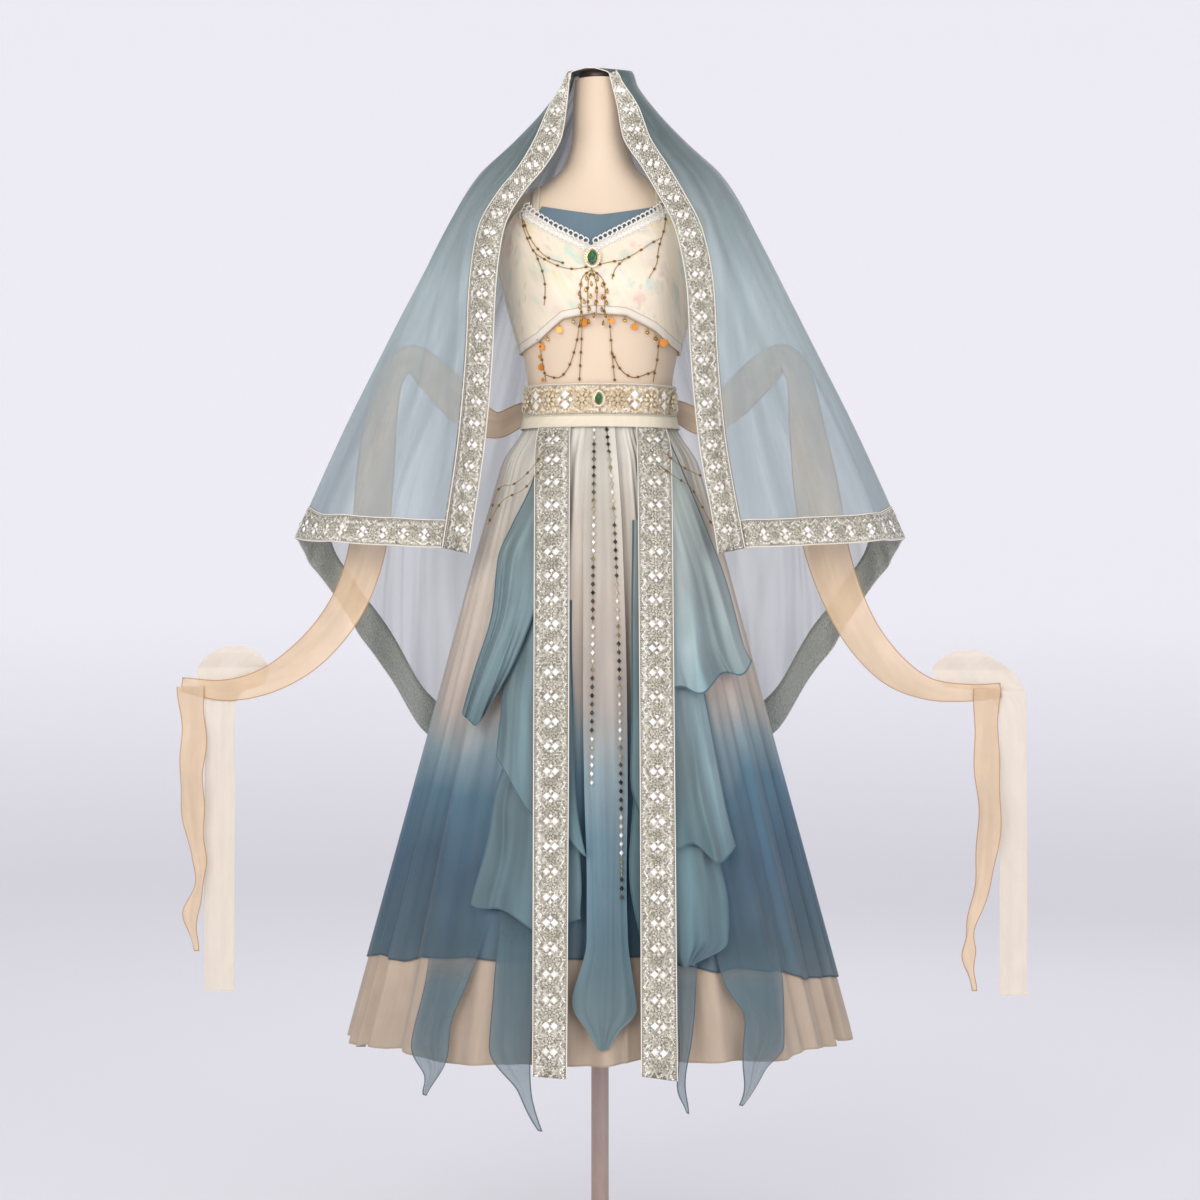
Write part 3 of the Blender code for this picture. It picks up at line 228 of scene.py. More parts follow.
BEAD_STRIPS = {
    "left": ((-0.012, 1.325, -0.006, 1.325), (-0.014, 1.040, -0.008, 1.040),
             (-0.016, 0.760, -0.010, 0.760)),
    "right": ((0.006, 1.325, 0.012, 1.325), (0.019, 1.164, 0.025, 1.164),
              (0.027, 0.900, 0.033, 0.900), (0.030, 0.590, 0.036, 0.590)),
}

# Veil: height, outer half width, x of the left and right front edges, y of the front and the back
VEIL_SECTIONS = (
    (1.8750, 0.050, -0.046, 0.014, -0.0480, 0.050),
    (1.8200, 0.092, -0.052, 0.027, -0.0550, 0.058),
    (1.7700, 0.140, -0.060, 0.036, -0.0640, 0.066),
    (1.7200, 0.193, -0.087, 0.066, -0.0780, 0.080),
    (1.6800, 0.219, -0.118, 0.088, -0.0920, 0.096),
    (1.6300, 0.244, -0.148, 0.115, -0.1080, 0.114),
    (1.5400, 0.289, -0.161, 0.134, -0.1300, 0.132),
    (1.4000, 0.360, -0.168, 0.142, -0.1220, 0.140),
    (1.2700, 0.425, -0.180, 0.155, -0.1240, 0.154),
    (1.1200, 0.490, -0.202, 0.183, -0.1360, 0.184),
    (0.8000, 0.490, -0.202, 0.183, -0.1360, 0.256),
    (0.7600, 0.490, -0.202, 0.183, -0.1360, 0.262),
)
# Its long creases: place across from -1 to 1, drift at the crown, width, height, and where they start
VEIL_CREASES = (
    (-0.915, 0.02, 0.010, 0.0060, 0.24), (-0.875, 0.04, 0.014, 0.0100, 0.20),
    (-0.810, 0.03, 0.010, 0.0060, 0.40), (-0.730, 0.02, 0.018, 0.0085, 0.28),
    (-0.640, 0.00, 0.013, 0.0060, 0.36), (-0.500, -0.02, 0.020, 0.0080, 0.25),
    (-0.370, 0.02, 0.014, 0.0060, 0.42), (-0.220, 0.01, 0.022, 0.0085, 0.28),
    (-0.080, 0.02, 0.014, 0.0060, 0.38), (0.070, -0.02, 0.020, 0.0080, 0.26),
    (0.200, 0.01, 0.014, 0.0055, 0.46), (0.350, -0.01, 0.018, 0.0080, 0.28),
    (0.490, 0.02, 0.015, 0.0065, 0.36), (0.620, 0.00, 0.013, 0.0055, 0.28),
    (0.700, -0.02, 0.018, 0.0085, 0.38), (0.790, -0.03, 0.010, 0.0055, 0.24),
    (0.865, -0.04, 0.015, 0.0100, 0.22), (0.910, -0.02, 0.009, 0.0055, 0.26),
)
CROWN_Z = 1.8840
VEIL_WIDEST = 0.490
VEIL_SHOULDER_Z = 1.680
VEIL_FRONT_HEM = 1.112
VEIL_CORNER_HEM = 1.136
VEIL_BACK_HEM = 0.778
VEIL_BACK_CORNER_X = 0.272
VEIL_TRIM_WIDTH = 0.043
VEIL_TRIM_LIFT = 0.0012
VEIL_BACK_CELLS = 10
VEIL_FRONT_CELLS = 4
VEIL_STEPS = 6
CROWN_DROP = 0.010
CROWN_FRONT = np.array((-0.016, -0.046))
CROWN_NOTCH = 0.06
TRIM_AT_CROWN = 0.26

# Arm sash: x, y, z and half width, from the waist to the hand and from the hand down
SASH_ARMS = {
    "left": ((-0.100, 0.0640, 1.352, 0.017), (-0.128, 0.048, 1.340, 0.018),
             (-0.170, 0.034, 1.322, 0.022), (-0.220, 0.026, 1.350, 0.028),
             (-0.265, 0.016, 1.398, 0.028), (-0.302, 0.006, 1.426, 0.022),
             (-0.334, 0.000, 1.398, 0.021), (-0.350, -0.004, 1.330, 0.026),
             (-0.359, -0.008, 1.240, 0.030), (-0.368, -0.010, 1.140, 0.030),
             (-0.390, -0.012, 1.060, 0.029), (-0.425, -0.012, 0.998, 0.028),
             (-0.475, -0.012, 0.946, 0.026), (-0.535, -0.012, 0.910, 0.021),
             (-0.600, -0.012, 0.896, 0.017), (-0.668, -0.012, 0.905, 0.012)),
    "right": ((0.100, 0.0640, 1.353, 0.017), (0.128, 0.048, 1.344, 0.018),
              (0.166, 0.034, 1.328, 0.022), (0.210, 0.026, 1.356, 0.028),
              (0.256, 0.016, 1.402, 0.028), (0.292, 0.006, 1.428, 0.022),
              (0.318, 0.000, 1.398, 0.021), (0.330, -0.004, 1.320, 0.028),
              (0.345, -0.008, 1.220, 0.036), (0.360, -0.010, 1.128, 0.036),
              (0.385, -0.012, 1.050, 0.033), (0.420, -0.012, 0.982, 0.030),
              (0.468, -0.012, 0.928, 0.026), (0.525, -0.012, 0.898, 0.018),
              (0.590, -0.012, 0.892, 0.014), (0.640, -0.012, 0.896, 0.012)),
}
SASH_ENDS = {
    "left": ((-0.6530, 0.0000, 0.9020, 0.0210), (-0.6480, -0.0060, 0.8200, 0.0200),
             (-0.6500, -0.0100, 0.7400, 0.0190), (-0.6440, -0.0060, 0.6600, 0.0150),
             (-0.6360, -0.0080, 0.6000, 0.0080), (-0.6520, -0.0040, 0.5400, 0.0120),
             (-0.6440, 0.0000, 0.4800, 0.0030)),
    "right": ((0.6180, 0.0000, 0.8980, 0.0210), (0.6160, -0.0060, 0.8000, 0.0200),
              (0.6200, -0.0100, 0.7000, 0.0190), (0.6120, -0.0060, 0.6000, 0.0150),
              (0.5920, -0.0060, 0.5200, 0.0080), (0.5880, -0.0040, 0.4700, 0.0100),
              (0.5970, 0.0000, 0.4160, 0.0030)),
}
SASH_FOLDS = {
    "left": ((-0.5840, 0.0000, 0.9660, 0.0140), (-0.5840, 0.0030, 0.9560, 0.0360),
             (-0.5860, 0.0060, 0.9320, 0.0560), (-0.5900, 0.0030, 0.9050, 0.0500),
             (-0.6060, 0.0000, 0.8750, 0.0250), (-0.6080, 0.0060, 0.7200, 0.0240),
             (-0.6080, 0.0000, 0.5600, 0.0240), (-0.6080, 0.0040, 0.4160, 0.0230)),
    "right": ((0.5860, 0.0000, 0.9600, 0.0140), (0.5860, 0.0030, 0.9500, 0.0360),
              (0.5940, 0.0060, 0.9280, 0.0620), (0.6150, 0.0030, 0.9020, 0.0600),
              (0.6560, 0.0000, 0.8750, 0.0240), (0.6600, 0.0060, 0.7200, 0.0220),
              (0.6600, 0.0000, 0.5600, 0.0220), (0.6600, 0.0040, 0.4080, 0.0220)),
}
SASH_PLANE_Y = -0.012
SASH_BACK_TOP = 1.371
SASH_BACK_BOTTOM = 1.338
SASH_LEAVES_AT = radians(140)
SASH_LEAVES_Z = 1.3545
SASH_LIFT = 0.0016
FRONT = np.array((0.0, -1.0, 0.0))
DOWN = (0, 0, -1)
ACROSS = (1, 0, 0)


# Reading the tables

def soft_column(table, heights, value, radius=0.010):
    """One column of a table of sections at the given heights, with its bends rounded off."""
    rows = np.array(sorted(table))
    steps = np.array((-1.0, -0.6, -0.2, 0.2, 0.6, 1.0)) * radius
    return np.mean([np.interp(heights + step, rows[:, 0], rows[:, value]) for step in steps], axis=0)


def smooth_rows(rows, spots):
    """Rows of a table at fractional row numbers, on curves that never pass their neighbours."""
    rows = np.asarray(rows, dtype=float)
    step = np.diff(rows, axis=0)
    slope = np.concatenate([step[:1], np.zeros_like(rows[1:-1]), step[-1:]])
    before, after = step[:-1], step[1:]
    turns = before * after <= 0
    slope[1:-1] = np.where(turns, 0, 2 * before * after / np.where(turns, 1, before + after))
    first = np.clip(np.asarray(spots).astype(int), 0, len(rows) - 2)
    t = (spots - first).reshape((-1,) + (1,) * (rows.ndim - 1))
    start, end = rows[first], rows[first + 1]
    return ((2 * t**3 - 3 * t**2 + 1) * start + (t**3 - 2 * t**2 + t) * slope[first]
            + (3 * t**2 - 2 * t**3) * end + (t**3 - t**2) * slope[first + 1])


def smooth_path(rows, count):
    """Evenly spread rows along a smooth curve through all the columns of a table."""
    rows = np.asarray(rows, dtype=float)
    slope = np.gradient(rows, axis=0)
    spots = np.linspace(0, len(rows) - 1, count)
    first = np.minimum(spots.astype(int), len(rows) - 2)
    t = (spots - first)[:, None]
    return ((2 * t**3 - 3 * t**2 + 1) * rows[first] + (t**3 - 2 * t**2 + t) * slope[first]
            + (3 * t**2 - 2 * t**3) * rows[first + 1] + (t**3 - t**2) * slope[first + 1])


def finer(grid, row_steps, column_steps):
    """The same surface with more points between the given ones."""
    rows = np.linspace(0, len(grid) - 1, (len(grid) - 1) * row_steps + 1)
    made = smooth_rows(grid, rows).transpose(1, 0, 2)
    columns = np.linspace(0, len(made) - 1, (len(made) - 1) * column_steps + 1)
    return smooth_rows(made, columns).transpose(1, 0, 2)


def unit(vectors):
    return vectors / np.maximum(np.linalg.norm(vectors, axis=-1, keepdims=True), 1e-12)


def lengths_along(path):
    """Distance along a path at each of its points."""
    return np.concatenate([[0], np.cumsum(np.linalg.norm(np.diff(path, axis=0), axis=1))])


def full_turn(steps):
    """Angles of a full turn in even steps."""
    return np.arange(steps) * 2 * pi / steps


def grid_normals(grid, closed=False, facing=None):
    """Unit normals of a grid of points, away from the Z axis or towards the facing vector."""
    if closed:
        around = np.roll(grid, -1, axis=1) - np.roll(grid, 1, axis=1)
    else:
        around = np.gradient(grid, axis=1)
    normals = unit(np.cross(around, np.gradient(grid, axis=0)))
    outward = grid * (1, 1, 0) if facing is None else np.broadcast_to(facing, grid.shape)
    return normals * np.sign((normals * outward).sum())


# Making pieces

def belongs(obj, slot, *nodes):
    """Fix a piece to the part and hide the solids that it stands for; the material slot is not used."""
    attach(obj, "root")
    if nodes:
        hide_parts(*nodes)
    return obj


def new_piece(name, points, faces, material, smooth=True):
    mesh = bpy.data.meshes.new(name)
    mesh.from_pydata(np.asarray(points, dtype=float).tolist(), [], faces)
    mesh.materials.append(material)
    if smooth:
        mesh.shade_smooth()
    mesh.update()
    obj = bpy.data.objects.new(name, mesh)
    bpy.context.scene.collection.objects.link(obj)
    return obj


def cloth(name, grid, material, closed=False, facing=None, thickness=0.0, hem_only=False,
          gathered=False):
    """A thin piece of cloth on a grid of points, from its top row down. Its UV map is the cut in
    metres, and its edge attribute is the distance to the hem, and to the sides where they are free.
    Gathered cloth is cut as wide as its widest row all the way up."""
    rows, columns = grid.shape[:2]
    normals = grid_normals(grid, closed, facing)
    spans = columns if closed else columns - 1
    i, j = np.meshgrid(np.arange(rows - 1), np.arange(spans), indexing="ij")
    i, j = i.ravel(), j.ravel()
    after = (j + 1) % columns
    quads = np.stack([i * columns + j, i * columns + after, (i + 1) * columns + after,
                      (i + 1) * columns + j], axis=1)
    middle = rows // 2
    around = grid[middle, 1] - grid[middle, 0]
    down = grid[middle + 1, 0] - grid[middle, 0]
    outwards = np.dot(np.cross(around, down), normals[middle, 0]) > 0
    order = (0, 1, 2, 3) if outwards else (3, 2, 1, 0)
    obj = new_piece(name, grid.reshape(-1, 3), quads[:, order].tolist(), material)

    wide = np.concatenate([grid, grid[:, :1]], axis=1) if closed else grid
    across = np.linalg.norm(np.diff(wide, axis=1), axis=2)
    u = np.concatenate([np.zeros((rows, 1)), np.cumsum(across, axis=1)], axis=1)
    v = np.concatenate([np.zeros((1, wide.shape[1])),
                        np.cumsum(np.linalg.norm(np.diff(wide, axis=0), axis=2), axis=0)])
    corners = np.stack([np.stack([i, j], 1), np.stack([i, j + 1], 1), np.stack([i + 1, j + 1], 1),
                        np.stack([i + 1, j], 1)], axis=1)[:, order].reshape(-1, 2)
    sideways = np.broadcast_to(u[np.argmax(u[:, -1])], u.shape) if gathered else u
    cut = np.stack([sideways[corners[:, 0], corners[:, 1]], v[corners[:, 0], corners[:, 1]]], axis=1)
    layer = obj.data.uv_layers.new(name="cut")
    layer.uv.foreach_set("vector", cut.astype(np.float32).ravel())
    distance = v[-1:] - v
    if not closed and not hem_only:
        distance = np.minimum(distance, np.minimum(u, u[:, -1:] - u))
    attribute = obj.data.attributes.new("edge", "FLOAT", "POINT")
    attribute.data.foreach_set("value", distance[:, :columns].astype(np.float32).ravel())
    if thickness:
        wall = obj.modifiers.new("wall", "SOLIDIFY")
        wall.thickness = thickness
        wall.offset = -1.0
    return obj


def dressed(solid, slot, grid, material, **how):
    """The cloth that stands for one solid, named for it, on a grid of points."""
    return belongs(cloth(solid + "_cloth", grid, material, **how), slot, solid)


def between_rings(count, sides, first=0, down=True):
    """Quads between rings of points, each ring after the one before, outwards where they go down."""
    faces = []
    for ring in range(count - 1):
        for k in range(sides):
            a, b = first + ring * sides + k, first + ring * sides + (k + 1) % sides
            faces.append((a, a + sides, b + sides, b) if down else (a, b, b + sides, a + sides))
    return faces


def turned(name, profile, sides, material):
    """A turned solid round the Z axis from a profile of radius and height pairs."""
    rings = np.array([[(r * sin(a), -r * cos(a), z) for a in full_turn(sides)] for r, z in profile])
    return lofted(name, rings, material)


def lofted(name, rings, material):
    """A closed solid through rings of points, from the top down, with a flat face at each end."""
    count, sides = rings.shape[:2]
    faces = [tuple(range(sides)), tuple(reversed(range((count - 1) * sides, count * sides)))]
    faces += between_rings(count, sides)
    obj = new_piece(name, rings.reshape(-1, 3), faces, material)
    obj.data.set_sharp_from_angle(angle=radians(40))
    return obj


def tone(obj, low, high, seed=1):
    """Give each corner of a piece a tone between low and high."""
    count = len(obj.data.vertices)
    values = np.random.default_rng(seed).uniform(low, high, count).astype(np.float32)
    obj.data.attributes.new("tone", "FLOAT", "POINT").data.foreach_set("value", values)
    return obj


def tubes(name, paths, radius, material, sides=6):
    """Round cords along paths of points, all in one piece."""
    points, faces = [], []
    turn = full_turn(sides)
    for path in paths:
        path = np.asarray(path, dtype=float)
        along = unit(np.gradient(path, axis=0))
        side = unit(np.cross(along, (0.31, -0.94, 0.12)))
        up = np.cross(side, along)
        ring = path[:, None] + radius * (np.cos(turn)[None, :, None] * side[:, None]
                                         + np.sin(turn)[None, :, None] * up[:, None])
        first = len(points)
        points.extend(ring.reshape(-1, 3).tolist())
        faces += between_rings(len(path), sides, first)
        faces.append(tuple(range(first, first + sides)))
        faces.append(tuple(reversed(range(first + (len(path) - 1) * sides, first + len(path) * sides))))
    return new_piece(name, points, faces, material)


# Finishes

def srgb(code):
    parts = np.array([int(code[k:k + 2], 16) for k in (0, 2, 4)]) / 255
    linear = np.where(parts > 0.04045, ((parts + 0.055) / 1.055) ** 2.4, parts / 12.92)
    return (*(float(part) for part in linear), 1.0)


def node(tree, kind, inputs=None, **settings):
    """A node with its settings, and its inputs linked to sockets or set to values."""
    made = tree.nodes.new(kind)
    for key, value in settings.items():
        setattr(made, key, value)
    for key, value in (inputs or {}).items():
        if isinstance(value, bpy.types.NodeSocket):
            tree.links.new(value, made.inputs[key])
        else:
            made.inputs[key].default_value = value
    return made


def calc(tree, operation, *values):
    return node(tree, "ShaderNodeMath", dict(enumerate(values)), operation=operation).outputs[0]


def mixed(tree, factor, first, second, blend="MIX"):
    """Two colours mixed; a colour is a socket or an RGBA value."""
    return node(tree, "ShaderNodeMix", {0: factor, 6: first, 7: second}, data_type="RGBA",
                blend_type=blend).outputs[2]


def times(tree, first, second):
    """Two colours multiplied."""
    return mixed(tree, 1.0, first, second, "MULTIPLY")


def grey(tree, value):
    return node(tree, "ShaderNodeCombineColor", {0: value, 1: value, 2: value}).outputs[0]


def ranged(tree, value, *ends, **settings):
    """A value taken from between the first two ends to between the next two, or to 0 and 1."""
    return node(tree, "ShaderNodeMapRange", {0: value, **dict(enumerate(ends, 1))}, **settings).outputs[0]


def stretched(tree, place, scale):
    """A place with its axes scaled, so that a pattern is drawn out along the small ones."""
    return node(tree, "ShaderNodeMapping", {0: place, "Scale": scale}).outputs[0]


def noise(tree, place, scale, detail=2.0, **inputs):
    return node(tree, "ShaderNodeTexNoise", {"Vector": place, "Scale": scale, "Detail": detail,
                                             **inputs}).outputs


def cells(tree, place, scale, randomness=1.0, **settings):
    return node(tree, "ShaderNodeTexVoronoi", {"Vector": place, "Scale": scale, "Randomness": randomness},
                **settings).outputs


def object_place(tree):
    return node(tree, "ShaderNodeTexCoord").outputs["Object"]


def cut_place(tree):
    """The place on the flat cut, in metres."""
    return node(tree, "ShaderNodeUVMap", uv_map="cut").outputs[0]


def own_value(tree, label):
    """A value that the piece's points carry."""
    return node(tree, "ShaderNodeAttribute", attribute_name=label).outputs["Fac"]


def bump(tree, shader, height, distance, strength):
    made = node(tree, "ShaderNodeBump", {"Height": height, "Distance": distance, "Strength": strength})
    tree.links.new(made.outputs[0], shader.inputs["Normal"])


def ramp(tree, factor, stops):
    """A colour ramp from pairs of place and hex colour."""
    made = node(tree, "ShaderNodeValToRGB", {0: factor})
    elements = made.color_ramp.elements
    while len(elements) > 1:
        elements.remove(elements[-1])
    for number, (place, code) in enumerate(stops):
        element = elements[0] if number == 0 else elements.new(place)
        element.position = place
        element.color = srgb(code)
    return made.outputs[0]


def new_group(name, inputs, outputs):
    tree = bpy.data.node_groups.new(name, "ShaderNodeTree")
    for label, kind, value in inputs:
        socket = tree.interface.new_socket(label, in_out="INPUT", socket_type=kind)
        if value is not None:
            socket.default_value = value
    for label, kind in outputs:
        tree.interface.new_socket(label, in_out="OUTPUT", socket_type=kind)
    return tree, tree.nodes.new("NodeGroupInput").outputs, tree.nodes.new("NodeGroupOutput").inputs


def make_weave():
    """Woven threads with slubs and fine long creases: a height for bumps; a shade for colour from the
    slubs, with painted shade along the creases and threads; the threads alone; and broad long
    streaks of painted light and shade for folds."""
    tree, given, out = new_group(
        "weave",
        (("Cut", "NodeSocketVector", None), ("Thread", "NodeSocketFloat", 0.0009),
         ("Crease", "NodeSocketFloat", 0.5), ("Mottle", "NodeSocketFloat", 0.08)),
        (("Height", "NodeSocketFloat"), ("Shade", "NodeSocketColor"), ("Threads", "NodeSocketFloat"),
         ("Painted fold shading", "NodeSocketFloat")))
    axes = node(tree, "ShaderNodeSeparateXYZ", {0: given["Cut"]}).outputs
    turns = calc(tree, "DIVIDE", 2 * pi, given["Thread"])
    warp = calc(tree, "SINE", calc(tree, "MULTIPLY", axes[0], turns))
    weft = calc(tree, "SINE", calc(tree, "MULTIPLY", axes[1], turns))
    threads = calc(tree, "MULTIPLY", warp, weft)
    creases = noise(tree, stretched(tree, given["Cut"], (1.0, 0.12, 1.0)), 95.0, 3.0)[0]
    slubs = noise(tree, given["Cut"], 22.0)[0]
    creased = calc(tree, "MULTIPLY", creases, given["Crease"])
    tree.links.new(calc(tree, "ADD", calc(tree, "MULTIPLY", threads, 0.10), creased), out["Height"])
    # The shade mixes the slubs' own tone with painted shade that follows the crease and thread relief.
    spread = calc(tree, "MULTIPLY", calc(tree, "SUBTRACT", calc(tree, "ADD", slubs, creases), 1.0),
                  given["Mottle"])
    shade = calc(tree, "ADD", calc(tree, "ADD", 0.96, calc(tree, "MULTIPLY", spread, 2.2)),
                 calc(tree, "MULTIPLY", threads, 0.025))
    tree.links.new(grey(tree, shade), out["Shade"])
    tree.links.new(threads, out["Threads"])
    # Painted light and shade: broad long streaks that stand in for the light and shade of folds.
    folds = noise(tree, stretched(tree, given["Cut"], (1.0, 0.10, 1.0)), 17.0, 2.5, Distortion=0.5)[0]
    folds = ranged(tree, folds, 0.33, 0.67, interpolation_type="SMOOTHSTEP")
    tree.links.new(folds, out["Painted fold shading"])
    return tree


def make_dye():
    """Height above the floor with the streaks of a dip dye, from 0 at the low mark to 1 at the high."""
    tree, given, out = new_group(
        "dip_dye",
        (("Low", "NodeSocketFloat", 0.3), ("High", "NodeSocketFloat", 1.35),
         ("Streak", "NodeSocketFloat", 0.10)),
        (("Level", "NodeSocketFloat"), ("Cloud", "NodeSocketFloat")))
    place = object_place(tree)
    long = stretched(tree, place, (1.0, 1.0, 0.35))
    cloud = noise(tree, long, 9.0, 3.0)[0]
    height = node(tree, "ShaderNodeSeparateXYZ", {0: place}).outputs[2]
    moved = calc(tree, "ADD", height,
                 calc(tree, "MULTIPLY", calc(tree, "SUBTRACT", cloud, 0.5), given["Streak"]))
    tree.links.new(ranged(tree, moved, given["Low"], given["High"]), out["Level"])
    tree.links.new(noise(tree, long, 15.0, 1.5, Distortion=0.6)[0], out["Cloud"])
    return tree


WEAVE = make_weave()
DYE = make_dye()


def blank(name, roughness, metallic=0.0, **values):
    """A material with its shader's own values set; a key's underscores stand for spaces."""
    made = bpy.data.materials.new(name)
    made.use_nodes = True
    shader = made.node_tree.nodes["Principled BSDF"]
    shader.inputs["Roughness"].default_value = roughness
    shader.inputs["Metallic"].default_value = metallic
    for key, value in values.items():
        shader.inputs[key.replace("_", " ")].default_value = value
    return made, made.node_tree, shader


def cloth_finish(name, colour, roughness, sheer=None, thread=0.0011, crease=0.5, mottle=0.08,
                 relief=0.0006, hem="", hem_width=0.0025, dye=(0.0, 2.0, 0.1), clouds=0.0, painted_turn_shade=0.0,
                 fade=0.0, folds=0.0, inside="", **values):
    """Woven cloth. The colour is a hex code, or stops between the dye's low and high marks; the hem
    colour runs along the free edges. Sheer cloth covers one share at the low mark and another at
    the high. Clouds vary the tone, folds paint light and shade in long streaks, the painted turn
    shade darkens the cloth where it turns away from the camera, and fade is the length at the top
    over which sheer cloth comes in. The inside colour multiplies the wrong side, which lies in its
    own shade."""
    made, tree, shader = blank(name, roughness, **values)
    cut = cut_place(tree)
    weave = node(tree, "ShaderNodeGroup", {"Cut": cut, "Thread": thread, "Crease": crease,
                                           "Mottle": mottle}, node_tree=WEAVE).outputs
    level = node(tree, "ShaderNodeGroup", dict(zip(("Low", "High", "Streak"), dye)), node_tree=DYE).outputs
    base = srgb(colour) if isinstance(colour, str) else ramp(tree, level["Level"], colour)
    base = times(tree, base, weave["Shade"])
    # Clouds vary the tone at random; the folds share multiplies in painted light and shade in long streaks.
    for share, pattern in ((clouds, level["Cloud"]), (folds, weave["Painted fold shading"])):
        if share:
            varied = calc(tree, "MULTIPLY_ADD", pattern, share, 1.0 - share / 2)
            base = times(tree, base, grey(tree, varied))
    turned_away = node(tree, "ShaderNodeLayerWeight", {"Blend": 0.5}).outputs["Facing"]
    turned_away = calc(tree, "POWER", turned_away, 1.6)
    # Painted shade: the colour is pulled towards a cool blue-grey where the cloth turns away from the
    # camera.
    if painted_turn_shade:
        base = mixed(tree, calc(tree, "MULTIPLY", turned_away, painted_turn_shade), base,
                     times(tree, base, srgb("A9B4C0")))
    if inside:
        wrong_side = node(tree, "ShaderNodeNewGeometry").outputs["Backfacing"]
        base = mixed(tree, wrong_side, base, times(tree, base, srgb(inside)))
    if hem or sheer:
        within = ranged(tree, own_value(tree, "edge"), hem_width, hem_width * 1.4)
    if hem:
        base = mixed(tree, within, srgb(hem), base)
    tree.links.new(base, shader.inputs["Base Color"])
    if sheer:
        woven = calc(tree, "MULTIPLY_ADD", level["Level"], sheer[1] - sheer[0], sheer[0])
        woven = calc(tree, "MULTIPLY_ADD", weave["Threads"], 0.04, woven)
        woven = calc(tree, "MULTIPLY_ADD", turned_away, 0.35, woven)
        if folds:
            woven = calc(tree, "MULTIPLY_ADD", weave["Painted fold shading"], -0.6 * folds, woven)
        solid = node(tree, "ShaderNodeMix", {0: within, 2: 0.92, 3: woven}).outputs[0]
        if fade:
            down = node(tree, "ShaderNodeSeparateXYZ", {0: cut}).outputs[1]
            solid = calc(tree, "MULTIPLY", solid, ranged(tree, down, 0.0, fade))
        tree.links.new(solid, shader.inputs["Alpha"])
        made.surface_render_method = "BLENDED"
    bump(tree, shader, weave["Height"], relief, 0.8)
    return made


def cascade_finish(name, stops):
    """The silky dyed chiffon of the cascades, in the tones of one side; the right side's tones are
    lighter towards the top, a painted highlight.
    """
    return cloth_finish(name, stops, 0.42, mottle=0.05, hem="42606C", dye=(0.50, 1.33, 0.30), clouds=0.8,
                        painted_turn_shade=1.0, folds=0.55, Sheen_Weight=0.2)


def toned_finish(name, stops, roughness, metallic, **values):
    """Sequins, stones or beads: each has a tone from 0 to 1 that picks its colour from the stops."""
    made, tree, shader = blank(name, roughness, metallic, **values)
    tree.links.new(ramp(tree, own_value(tree, "tone"), stops), shader.inputs["Base Color"])
    return made


def print_finish(name):
    """Champagne satin with a soft scattered print of pastel flowers and a plain hem."""
    made, tree, shader = blank(name, 0.42, Sheen_Weight=0.25, Sheen_Roughness=0.4)
    cut = cut_place(tree)
    wander = noise(tree, cut, 55.0)[1]
    bent = node(tree, "ShaderNodeVectorMath", {0: wander, 1: (0.5, 0.5, 0.5)}, operation="SUBTRACT")
    bent = node(tree, "ShaderNodeVectorMath", {0: bent.outputs[0], "Scale": 0.016}, operation="SCALE")
    moved = node(tree, "ShaderNodeVectorMath", {0: cut, 1: bent.outputs[0]}, operation="ADD").outputs[0]
    flowers = cells(tree, moved, 30.0, 0.85)
    petals = cells(tree, moved, 120.0, feature="SMOOTH_F1")
    leaves = cells(tree, moved, 64.0)
    pick = node(tree, "ShaderNodeSeparateColor", {0: flowers["Color"]}).outputs[0]
    pastel = ramp(tree, pick, ((0.0, "F3D3C4"), (0.25, "CFE2CC"), (0.45, "F4E3B4"), (0.6, "DDD6E2"),
                               (0.75, "C4E4D2"), (0.9, "F0C7BC")))
    flower = ranged(tree, flowers["Distance"], 0.52, 0.30)
    veins = ranged(tree, petals["Distance"], 0.2, 0.7, 1.0, 0.35)
    green = node(tree, "ShaderNodeSeparateColor", {0: leaves["Color"]}).outputs[1]
    leaf = calc(tree, "MULTIPLY", calc(tree, "GREATER_THAN", green, 0.72),
                ranged(tree, leaves["Distance"], 0.4, 0.2))
    base = mixed(tree, calc(tree, "MULTIPLY", leaf, 0.45), srgb("F8EBD4"), srgb("C6CCB0"))
    base = mixed(tree, calc(tree, "MULTIPLY", calc(tree, "MULTIPLY", flower, veins), 0.9), base, pastel)
    edge = own_value(tree, "edge")
    base = mixed(tree, ranged(tree, edge, 0.0118, 0.0124), srgb("F3EADB"), base)
    seam = calc(tree, "COMPARE", edge, 0.0124, 0.0006)
    base = mixed(tree, calc(tree, "MULTIPLY", seam, 0.6), base, srgb("9C8D70"))
    weave = node(tree, "ShaderNodeGroup", {"Cut": cut, "Thread": 0.0008}, node_tree=WEAVE).outputs
    tree.links.new(times(tree, base, weave["Shade"]), shader.inputs["Base Color"])
    bump(tree, shader, calc(tree, "MULTIPLY_ADD", seam, -0.8, weave["Height"]), 0.0006, 0.8)
    return made


def grained_finish(name, dark, light, roughness, scale, stretch, metallic=0.0):
    """Wood or metallic paint: two colours in a long grain on the object's own axes."""
    made, tree, shader = blank(name, roughness, metallic)
    grain = noise(tree, stretched(tree, object_place(tree), stretch), scale, 5.0, Roughness=0.6)[0]
    tree.links.new(ramp(tree, grain, ((0.3, dark), (0.7, light))), shader.inputs["Base Color"])
    rough = ranged(tree, grain, 0.0, 1.0, roughness - 0.06, roughness + 0.08)
    tree.links.new(rough, shader.inputs["Roughness"])
    bump(tree, shader, grain, 0.0004, 0.4)
    return made


